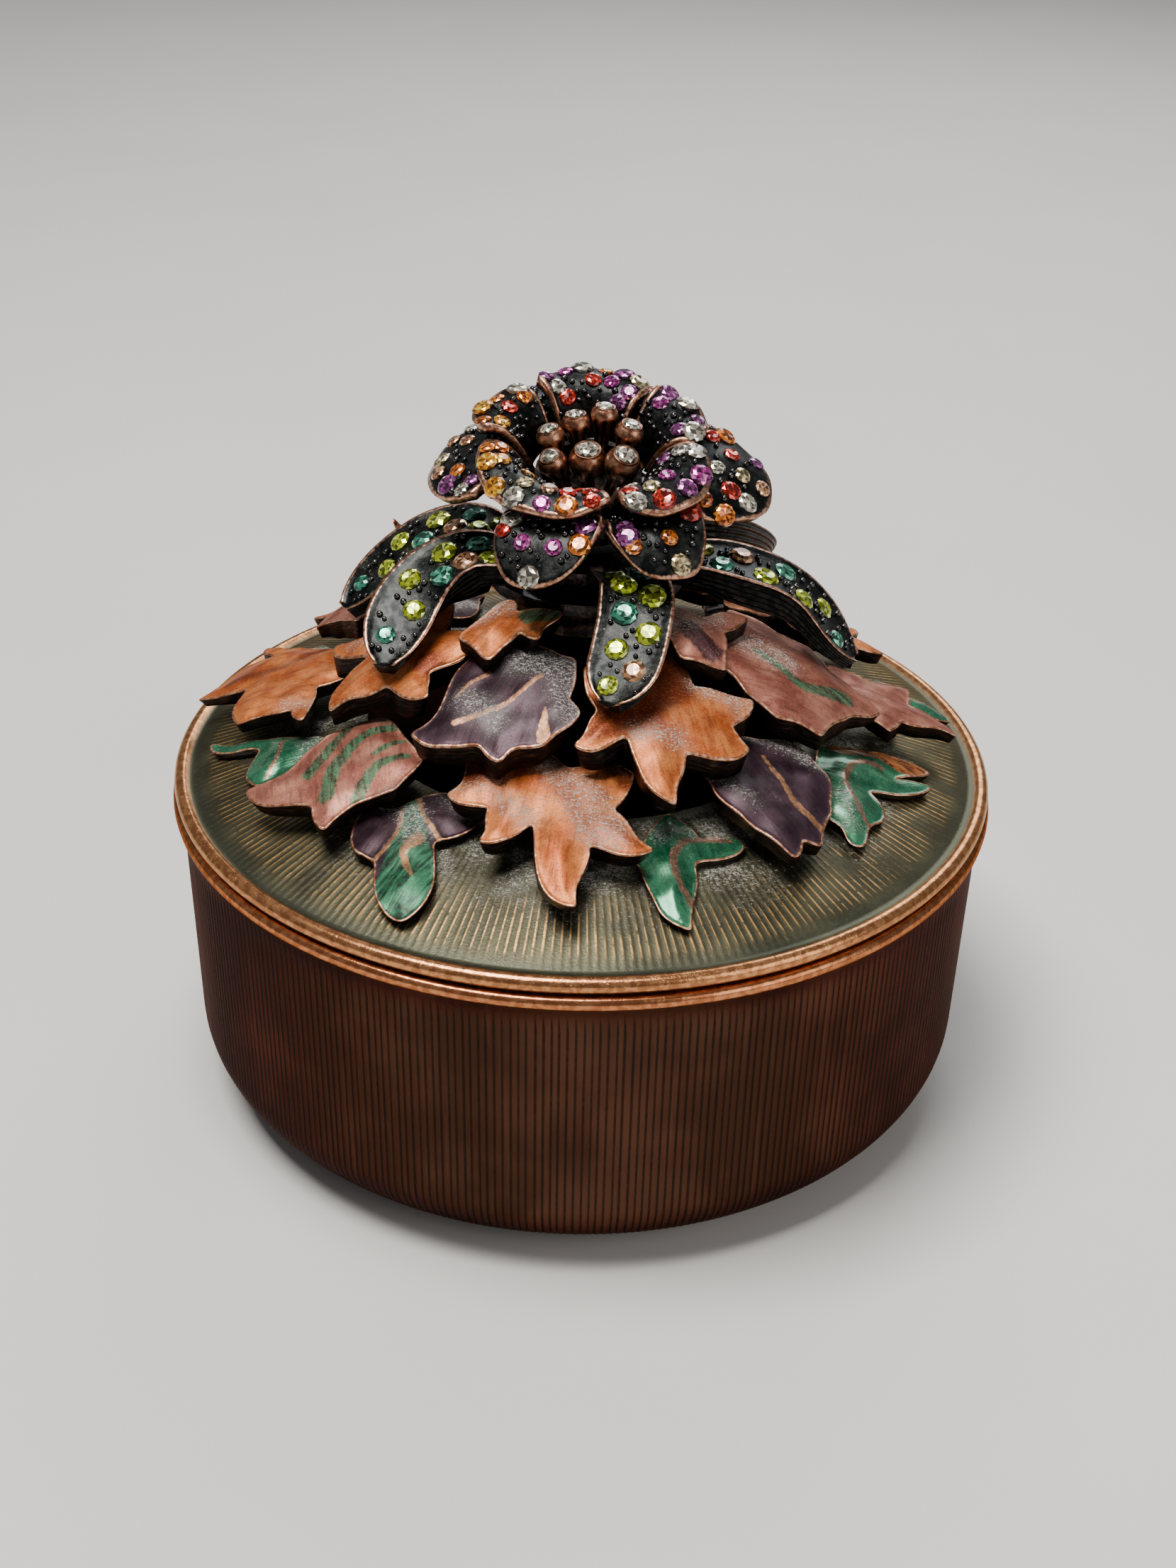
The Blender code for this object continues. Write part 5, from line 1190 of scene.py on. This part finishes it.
def make_leaf(leaf):
    """A leaf: a pillowed face with a raised rim, filed sides that draw in, and a plain underside."""
    middle = polar(leaf.azimuth, leaf.radius * crown_scale)[:2]
    outline = leaf_outline(leaf)
    count = len(outline)
    closed = np.vstack((outline, outline[:1]))
    along = np.roll(outline, -1, 0) - np.roll(outline, 1, 0)
    inward = np.stack((-along[:, 1], along[:, 0]), 1) / (np.linalg.norm(along, axis=1)[:, None] + 1e-9)

    rings = []
    for inset in FACE_INSETS:
        ring = outline + inward * inset
        rings.append(ring[chain_distance(ring, closed) > RING_CLEARANCE * inset])
    rings.append(grid_inside(outline, FACE_GRID, FACE_INSETS[-1] + FACE_GRID * 0.6))
    inner = np.concatenate(rings)
    flat = np.concatenate((outline, inner))
    edge = np.concatenate((np.zeros(count), chain_distance(inner, closed)))
    height = leaf_face_height(leaf, middle, flat, edge)
    line, patch, dark, dust = (mark_distance(leaf, flat, layer) for layer in MARK_LAYERS)
    height += LINE_RAISE * np.exp(-(np.maximum(line, 0) / LINE_EDGE) ** 2) * (edge > RIM_AT)
    points = [np.column_stack((middle + flat, height))]
    faces = fill(outline, inner)

    girth = np.concatenate(((0,), np.cumsum(np.linalg.norm(np.diff(outline, axis=0), axis=1))))
    rim = height[:count]
    low = outline * LEAF_UNDERCUT
    under = tier_underside(leaf.tier, np.linalg.norm(middle + low, axis=1)) + lobe_lift(leaf, outline)
    swell, rate = SIDE_WAVE
    wave = swell * np.sin(girth * rate + leaf.azimuth)
    start, before = len(flat), np.arange(count)
    for share in SIDE_SHARES:
        size = 1 - (1 - LEAF_UNDERCUT) * share
        ring = outline * size + inward * (wave * math.sin(math.pi * share))[:, None]
        points.append(np.column_stack((middle + ring, rim + (under - rim) * share)))
        here = start + np.arange(count)
        faces += np.stack((before, here, np.roll(here, -1), np.roll(before, -1)), 1).tolist()
        start, before = start + count, here
    low_inner = grid_inside(low, UNDERSIDE_GRID, UNDERSIDE_GRID * 0.5)
    low_height = tier_underside(leaf.tier, np.linalg.norm(middle + low_inner, axis=1))
    low_height = low_height + lobe_lift(leaf, low_inner)
    points.append(np.column_stack((middle + low_inner, low_height)))
    numbers = np.concatenate((before, start + np.arange(len(low_inner))))
    faces += [tuple(int(numbers[i]) for i in reversed(t)) for t in fill(low, low_inner)]

    points = np.concatenate(points)
    rest = len(points) - len(flat)
    about = points[:, :2] - middle
    axis = unit(leaf.azimuth - 90 + BRUSH_TURNS.get(leaf.name, 0))

    def spread(values, beyond):
        return np.concatenate((values, np.full(rest, beyond)))

    girths = (girth, np.zeros(len(inner)), np.tile(girth, len(SIDE_SHARES)), low_inner[:, 0])
    depths = (np.zeros(len(flat)), np.repeat(SIDE_SHARES, count), np.ones(len(low_inner)))
    attributes = {
        "inset": spread(edge, -1.0),
        "face": spread(np.ones(len(flat)), 0.0),
        "line": spread(line, MARK_REACH),
        "patch": spread(patch, MARK_REACH),
        "dark": spread(dark, MARK_REACH),
        "dust": spread(dust, MARK_REACH),
        "share": np.linalg.norm(about, axis=1) / np.linalg.norm(outline, axis=1).max(),
        "across": about @ np.array((-axis[1], axis[0])),
        "along": about @ axis,
        "girth": np.concatenate(girths),
        "depth": np.concatenate(depths),
    }
    finish = enamel_finish(leaf.colour, PATCHES.get(leaf.name, leaf.colour))
    make_piece(leaf.name + "_enamel", points, faces, finish, leaf.name, attributes)


# The sepals, the flower and their stones

def sepal_section(sepal, t):
    """Middle of the set face, its sideways and downward directions, half width and depth at t."""
    tip_height = float(tier_face(2, sepal.radii[-1] * crown_scale))
    tip_height += TIER_GAP + SEPAL_CLEARANCE + SEPAL_TIP_DEPTH
    heights = (sepal_root, sepal_root + sepal.shoulder, sepal_root + sepal.middle, tip_height)

    def place(s):
        radius = spline(sepal.radii, s) * crown_scale
        return Vector(polar(spline(sepal.azimuths, s), radius, spline(heights, s)))

    small = 0.02
    along = (place(min(t + small, 1)) - place(max(t - small, 0))).normalized()
    side = Vector((-along.y, along.x, 0)).normalized()
    side = Matrix.Rotation(math.radians(sepal.roll) * math.sin(math.pi * t), 3, along) @ side
    down = side.cross(along).normalized()
    down = down if down.z < 0 else -down
    near_tip = max((t - SEPAL_ROUNDS_FROM) / (1 - SEPAL_ROUNDS_FROM), 0)
    round_tip = math.sqrt(max(1 - near_tip ** 2, SEPAL_TIP_WIDTH ** 2))
    swell = SEPAL_ROOT_WIDTH + (1 - SEPAL_ROOT_WIDTH) * math.sin(math.pi * min(t, 0.5))
    half_width = sepal.width / 2 * swell * round_tip
    depth = SEPAL_ROOT_DEPTH + (SEPAL_TIP_DEPTH - SEPAL_ROOT_DEPTH) * t
    depth += SEPAL_BELLY * math.sin(math.pi * t) ** 2
    return place(t), side, down, half_width, depth


def sepal_face_point(sepal, t, v):
    """A point on the set face and the direction out of it; v from -1 to 1 across."""
    middle, side, down, half_width, _ = sepal_section(sepal, t)
    point = middle + side * v * half_width + down * SEPAL_DISH * (1 - v * v)
    return np.array(point), np.array(-down)


def make_sepal(sepal):
    """A thick curved blade: dished face between copper rims, ribbed sides."""
    across = np.linspace(-1, 1, SEPAL_COLUMNS)
    sides = np.linspace(0, 1, 6 * SEPAL_RIBS)[1:-1]
    points, rims = [], []
    for i in range(SEPAL_STEPS + 1):
        t = i / SEPAL_STEPS
        middle, side, down, half_width, depth = sepal_section(sepal, t)
        for v in across:
            from_edge = (1 - abs(v)) * half_width
            wire = math.exp(-((from_edge - WIRE_WIDTH) / WIRE_WIDTH) ** 2)
            drop = SEPAL_DISH * (1 - v * v) - WIRE_RAISE * wire
            points.append(middle + side * v * half_width + down * drop)
            rims.append(math.exp(-(from_edge / SEPAL_RIM_WIDTH) ** 4))
        for way in (1, -1):
            for s in (sides if way > 0 else sides[::-1]):
                x = 1 + (SEPAL_UNDER_WIDTH - 1) * s
                rib = math.cos(2 * math.pi * SEPAL_RIBS * s)
                out = rib * RIB_DEPTH * min(1, half_width)
                points.append(middle + side * way * (x * half_width + out) + down * s * depth)
                rims.append(RIB_SHINE * max(0.0, rib) ** 2)
            if way > 0:
                for x in (SEPAL_UNDER_WIDTH, 0, -SEPAL_UNDER_WIDTH):
                    points.append(middle + side * x * half_width + down * depth)
                    rims.append(0.0)
    ring = len(points) // (SEPAL_STEPS + 1)
    faces = grid_faces(SEPAL_STEPS + 1, ring, closed=True) + end_faces(SEPAL_STEPS + 1, ring)
    outward(make_piece(sepal.name + "_set", points, faces, FINISHES["sepal"], sepal.name,
                       {"rim": rims}))


def outward(piece):
    """Turns a closed piece's faces outwards."""
    shape = bmesh.new()
    shape.from_mesh(piece.data)
    bmesh.ops.recalc_face_normals(shape, faces=shape.faces)
    shape.to_mesh(piece.data)
    shape.free()


def petal_point(petal, u, v):
    """A point of a petal's face about the flower's axis: u from root to rim, v from -1 to 1 across."""
    u, v = np.asarray(u, float), np.asarray(v, float)
    short = u * (1 - petal.rounding * np.abs(v) ** PETAL_ROUNDING_CURVE)
    line_points = bezier(petal.whorl, short)
    radius, height = line_points[..., 0], line_points[..., 1]
    radius = radius + petal.reach * u ** 2 * (1 - v * v)
    spread = petal.half_angle * (1 - petal.narrowing * (1 - u))
    height = height + petal.shingle * v * u + petal.ripple * np.sin(PETAL_RIPPLES * np.pi * v) * u ** 3
    return polar(petal.azimuth + spread * v, radius, height)


def petal_normal(petal, u, v):
    """Outward normal of a petal's face."""
    small = 0.01
    along = petal_point(petal, u + small, v) - petal_point(petal, u - small, v)
    across = petal_point(petal, u, v + small) - petal_point(petal, u, v - small)
    normal = np.cross(along, across)
    return normal / np.linalg.norm(normal, axis=-1, keepdims=True)


def petal_place(petal, u, v):
    """A point of a petal's face in the row frame, and the direction out of it."""
    point = petal_point(petal, u, v)
    placed = to_flower(point)
    return placed, to_flower(point + petal_normal(petal, u, v)) - placed


def make_petal(petal):
    """A curved plate with a copper rim."""
    deep, wide = PETAL_GRID
    u, v = np.meshgrid(np.linspace(0, 1, deep + 1), np.linspace(-1, 1, wide + 1), indexing="ij")
    face, normal = petal_point(petal, u, v), petal_normal(petal, u, v)
    length = np.linalg.norm(petal_point(petal, 1.0, 0.0) - petal_point(petal, 0.5, 0.0)) * 2
    half = np.linalg.norm(petal_point(petal, 1.0, 1.0) - petal_point(petal, 1.0, -1.0)) / 2
    from_edge = np.minimum((1 - u) * length, (1 - np.abs(v)) * half)
    wire = np.exp(-((from_edge - WIRE_WIDTH) / WIRE_WIDTH) ** 2)
    upper = face + normal * (WIRE_RAISE * wire)[..., None]
    lower = face - normal * PETAL_THICKNESS
    rim = np.exp(-(from_edge / PETAL_RIM_WIDTH) ** 4)
    points = np.concatenate((upper.reshape(-1, 3), lower.reshape(-1, 3)))
    faces = grid_faces(deep + 1, wide + 1)
    layer, row = (deep + 1) * (wide + 1), wide + 1
    faces += [tuple(c + layer for c in f)[::-1] for f in grid_faces(deep + 1, wide + 1)]
    edge = list(range(row)) + [i * row + wide for i in range(1, deep + 1)]
    edge += [deep * row + k for k in reversed(range(wide))] + [i * row for i in reversed(range(1, deep))]
    faces += [(a, b, b + layer, a + layer) for a, b in zip(edge, edge[1:] + edge[:1])]
    rims = np.concatenate((rim.ravel(), UNDER_SHINE * rim.ravel()))
    outward(make_piece(petal.name + "_set", to_flower(points), faces, FINISHES["petal"], petal.name,
                       {"rim": rims}))


def stone_mesh():
    """A cut stone of width 1 with its base at 0: table, slopes and a low skirt, every face apart."""
    turn = 2 * np.pi * (np.arange(STONE_SIDES) + 0.5) / STONE_SIDES
    half_side = math.pi / STONE_SIDES
    table, middle, girdle, base = ([(radius * math.cos(a), radius * math.sin(a), height)
                                    for a in turn + lag * half_side] for radius, height, lag in STONE_RINGS)
    top = (0, 0, STONE_TOP)
    faces = []
    for k in range(STONE_SIDES):
        j = (k + 1) % STONE_SIDES
        faces += [(top, table[k], table[j]), (table[k], middle[k], table[j]),
                  (table[k], middle[k - 1], middle[k]), (middle[k - 1], girdle[k], middle[k]),
                  (middle[k], girdle[k], girdle[j]), (girdle[k], base[k], base[j]),
                  (girdle[k], base[j], girdle[j])]
    return np.array(faces)


STONE = stone_mesh()
STONE_LIGHT_AND_SHADE = np.tile(FACET_LIGHT_AND_SHADE, STONE_SIDES)


class Stones:
    """Gathers stones and sets them in one piece."""

    def __init__(self):
        self.corners, self.tones = [], []

    def add(self, point, normal, size, colour, turn):
        facing = Vector(normal).normalized().to_track_quat("Z", "Y").to_matrix()
        facing = facing @ Matrix.Rotation(turn, 3, "Z")
        corners = STONE * size @ np.array(facing).T + np.array(point)
        # each facet is painted a glint, shade or its plain tone, times the painted light and shade down the
        # facets; the brightest get a painted white reflection
        glint_draw = random.uniform(0, 1, len(STONE))
        level = np.where(glint_draw > GLINTS_FROM, PAINTED_GLINT, np.where(glint_draw < SHADED_BELOW, PAINTED_FACET_SHADE, PLAIN))
        level = level * random.uniform(*FACET_SPREAD, len(STONE)) * STONE_LIGHT_AND_SHADE
        reflection = np.where(glint_draw > REFLECTION_FROM, REFLECTION_SHARE, 0.0)[:, None]
        tone = np.array(STONE_COLOURS[colour]) * level[:, None] * (1 - reflection) + reflection * REFLECTION_WHITE
        tone = np.clip(tone, DARKEST, 1.0)
        self.corners.append(corners.reshape(-1, 3))
        self.tones.append(np.repeat(np.column_stack((tone, np.ones(len(tone)))), 3, axis=0))

    def build(self, name, slot):
        points = np.concatenate(self.corners)
        faces = np.arange(len(points)).reshape(-1, 3).tolist()
        tones = np.concatenate(self.tones)
        return make_piece(name, points, faces, FINISHES["stone"], flat=True, tones=tones)


def grain_piece(name, places):
    """Small metal grains, each a low round dome, in one piece."""
    points, faces = [], []
    rings = [(math.cos(a), math.sin(a)) for a in np.radians(GRAIN_RINGS)]
    dome_points = [Vector((radius * math.cos(a), radius * math.sin(a), rise + GRAIN_RISE))
                   for radius, rise in rings for a in 2 * math.pi * np.arange(GRAIN_COLUMNS) / GRAIN_COLUMNS]
    dome_points.append(Vector((0, 0, 1 + GRAIN_RISE)))
    for point, normal, size in places:
        turn = Vector(normal).normalized().to_track_quat("Z", "Y").to_matrix()
        start = len(points)
        points += [Vector(point) + turn @ local * size / 2 for local in dome_points]
        faces += grid_faces(len(rings), GRAIN_COLUMNS, closed=True, start=start)
        top = len(points) - 1
        last = top - GRAIN_COLUMNS
        faces += [(last + k, last + (k + 1) % GRAIN_COLUMNS, top) for k in range(GRAIN_COLUMNS)]
    return make_piece(name, points, faces, FINISHES["grain"])


def scatter(surface, stones, tries):
    """Grains on a surface, given as a function of two numbers, clear of the stones and of each other."""
    places = []
    stone_points = np.array([point for point, _ in stones])
    clear = np.array([size for _, size in stones]) * 0.5 + GRAIN * GRAIN_STONE_GAP
    for _ in range(tries):
        point, normal = surface(*random.uniform(0, 1, 2))
        if np.any(np.linalg.norm(stone_points - point, axis=1) < clear):
            continue
        if any(np.linalg.norm(p - point) < GRAIN * GRAIN_GAP for p, _, _ in places):
            continue
        places.append((point, normal, GRAIN * random.uniform(*GRAIN_SIZES)))
    return places


def set_petals():
    """Stones in rows over the petals, with grains between."""
    stones, grains = Stones(), []
    for petal in PETALS:
        here = []
        for u, row in PETAL_STONES[petal.name]:
            row_length = np.linalg.norm(petal_point(petal, u, 1.0) - petal_point(petal, u, -1.0))
            for k, letter in enumerate(row):
                if letter == ".":
                    continue
                v = ((2 * k + 1) / len(row) - 1) * (1 - ROW_MARGIN / max(row_length, ROW_LEAST))
                size = STONE_LARGE if letter.isupper() else STONE_SMALL
                along, aside = random.uniform(-STONE_WANDER, STONE_WANDER, 2)
                point, facing = petal_place(petal, u + along, v + aside)
                stones.add(point + facing * STONE_RAISE, facing, size, letter.lower(), random.uniform(0, 3))
                here.append((point, size))

        def surface(a, b):
            start, run = PETAL_GRAIN_ROWS
            return petal_place(petal, start + run * a, 2 * PETAL_GRAIN_WIDTH * b - PETAL_GRAIN_WIDTH)

        grains += scatter(surface, here, PETAL_GRAIN_TRIES)
    stones.build("flower_stones", "dark_patina")
    grain_piece("flower_grains", grains)


def set_sepals():
    """Two staggered rows of stones down each sepal, with grains between."""
    stones, grains = Stones(), []
    for sepal in SEPALS:
        here = []
        for t, v, size, letter in SEPAL_STONES.get(sepal.name, SEPAL_STONES["others"]):
            point, normal = sepal_face_point(sepal, t, v)
            size *= SEPAL_STONE_SCALE
            stones.add(point + normal * SEPAL_STONE_RAISE, normal, size, letter, random.uniform(0, 3))
            here.append((point, size))

        def surface(a, b):
            start, run = SEPAL_GRAIN_ROWS
            return sepal_face_point(sepal, start + run * a, 2 * SEPAL_GRAIN_WIDTH * b - SEPAL_GRAIN_WIDTH)

        grains += scatter(surface, here, SEPAL_GRAIN_TRIES)
    stones.build("sepal_stones", "dark_patina")
    grain_piece("sepal_grains", grains)


def stamen_frame(stamen):
    """Base and top of a stamen in the flower's frame, as in the part's source."""
    widest_base = CUP_RADIUS - CUP_WALL - STAMEN_STALK_RADIUS - PETAL_CLEARANCE
    base_spread = min(stamen.spread * STAMEN_BASE, widest_base)
    lean = (stamen.spread - base_spread) / (stamen.height - CUP_FLOOR)
    base = polar(stamen.azimuth, base_spread, CUP_FLOOR + PETAL_CLEARANCE + STAMEN_STALK_RADIUS * lean)
    return base, polar(stamen.azimuth, stamen.spread, stamen.height)


def make_stamens():
    """Ribbed stalks with round heads, each with a clear stone on its flat seat."""
    stones = Stones()
    angles = 2 * np.pi * np.arange(STAMEN_COLUMNS) / STAMEN_COLUMNS
    groove = (1 - np.cos(angles * STAMEN_RIBS)) / 2
    for stamen in STAMENS:
        base, top = stamen_frame(stamen)
        length = float(np.linalg.norm(top - base))
        turn = np.array(Vector(top - base).to_track_quat("Z", "Y").to_matrix())
        head = stamen.head
        ball = length - head * STAMEN_BALL_DROP
        seat = head * STAMEN_SEAT
        slope = math.degrees(math.atan2(STAMEN_BALL_DROP, STAMEN_SEAT))
        recess_width, recess = STAMEN_RECESS
        floor = length - recess
        profile = [(STAMEN_AXIS, floor), (seat * recess_width, floor), (seat, length + STAMEN_LIP)]
        profile += arc((0, ball), head, head, slope, STAMEN_BALL_END_ANGLE, STAMEN_HEAD_STEPS)
        stalk_top = ball - head * STAMEN_TAPER
        wider, rise = STAMEN_SHOULDER
        profile += [(STAMEN_STALK_RADIUS * wider, stalk_top + rise), (STAMEN_STALK_RADIUS, stalk_top)]
        profile += [(STAMEN_STALK_RADIUS, stalk_top * (1 - k / STAMEN_STALK_STEPS))
                    for k in range(1, STAMEN_STALK_STEPS + 1)]
        profile.append((STAMEN_AXIS, 0))
        ring = np.array(profile)
        on_stalk = (ring[:, 1] < ball)[:, None]
        radii = ring[:, :1] * np.where(on_stalk, 1 - STAMEN_RIB_DEPTH * groove, 1.0)
        points = np.broadcast_arrays(radii * np.cos(angles), radii * np.sin(angles), ring[:, 1:])
        placed = to_flower(np.stack(points, -1).reshape(-1, 3) @ turn.T + base)
        faces = grid_faces(len(ring), STAMEN_COLUMNS, closed=True) + end_faces(len(ring), STAMEN_COLUMNS)
        rim = np.where(on_stalk, 1 - groove, 1.0)
        outward(make_piece(stamen.name + "_ribbed", placed, faces, FINISHES["copper"], stamen.name,
                           {"rim": rim}))
        tip = to_flower(top)
        facing = to_flower(top + (top - base)) - tip
        stones.add(tip, facing, seat * 2 * STAMEN_STONE_SCALE, "c", stamen.azimuth)
    stones.build("stamen_stones", "copper")


# Camera, floor and light

def make_camera():
    """The photograph's view: from the front, about 30 degrees above level."""
    elevation = math.radians(CAMERA_ELEVATION)
    forward = Vector((0, math.cos(elevation), -math.sin(elevation)))
    level = Vector((1, 0, 0))
    yaw, pitch, roll = (math.radians(turn) for turn in CAMERA_TURNS)
    sideways = Matrix.Rotation(yaw, 3, level.cross(forward))
    aim = Matrix.Rotation(pitch, 3, level) @ (sideways @ forward)
    across = Matrix.Rotation(roll, 3, aim) @ (sideways @ level)
    data = bpy.data.cameras.new("camera")
    data.lens = CAMERA_LENS
    data.clip_start = CAMERA_NEAREST
    camera = bpy.data.objects.new("camera", data)
    bpy.context.scene.collection.objects.link(camera)
    eye = Vector((0, 0, bead_height)) - forward * CAMERA_DISTANCE
    turn = Matrix((across, across.cross(aim), -aim)).transposed().to_4x4()
    camera.matrix_world = Matrix.Translation(eye * MM) @ turn
    bpy.context.scene.camera = camera


def make_light(name, place, size, power, colour):
    """A soft square light aimed at the middle of the object."""
    data = bpy.data.lights.new(name, "AREA")
    data.size = size
    data.energy = power
    data.color = colour
    lamp = bpy.data.objects.new(name, data)
    bpy.context.scene.collection.objects.link(lamp)
    lamp.location = place
    lamp.rotation_euler = (Vector(LIGHT_AIM) - Vector(place)).to_track_quat("-Z", "Y").to_euler()


def make_studio():
    """Pale floor, soft lights and even surroundings."""
    mesh = bpy.data.meshes.new("floor")
    corners = [(x * FLOOR_HALF, y * FLOOR_HALF, 0) for x, y in ((-1, -1), (1, -1), (1, 1), (-1, 1))]
    mesh.from_pydata(corners, [], [(0, 1, 2, 3)])
    floor = bpy.data.objects.new("floor", mesh)
    bpy.context.scene.collection.objects.link(floor)
    f = Finish("floor")
    mesh.materials.append(f.set(f.mix(f.noise(60.0), *FLOOR_TONES), 0.7, 0.0))
    for lamp in LIGHTS:
        make_light(*lamp)
    world = bpy.data.worlds.new("surroundings")
    world.use_nodes = True
    background = world.node_tree.nodes["Background"]
    background.inputs["Color"].default_value = (*WORLD_COLOUR, 1.0)
    background.inputs["Strength"].default_value = WORLD_STRENGTH
    bpy.context.scene.world = world


def dress_plain_nodes():
    """The collar and the cup keep their own solids and get the dark metal."""
    finish = dark_metal_finish()
    for name in ("collar", "flower_cup"):
        for slot in bpy.data.objects[name].material_slots:
            slot.link = "DATA"
            slot.material = finish


FINISHES = {
    "sepal": set_metal_finish("sepal_metal", 0.35),
    "petal": set_metal_finish("petal_metal", 0.15),
    "stone": stone_finish(),
    "grain": grain_finish(),
    "copper": copper_finish(),
}
make_box()
make_lid()
for each in LEAVES:
    make_leaf(each)
for each in SEPALS:
    make_sepal(each)
for each in PETALS:
    make_petal(each)
make_stamens()
set_petals()
set_sepals()
dress_plain_nodes()
make_studio()
make_camera()
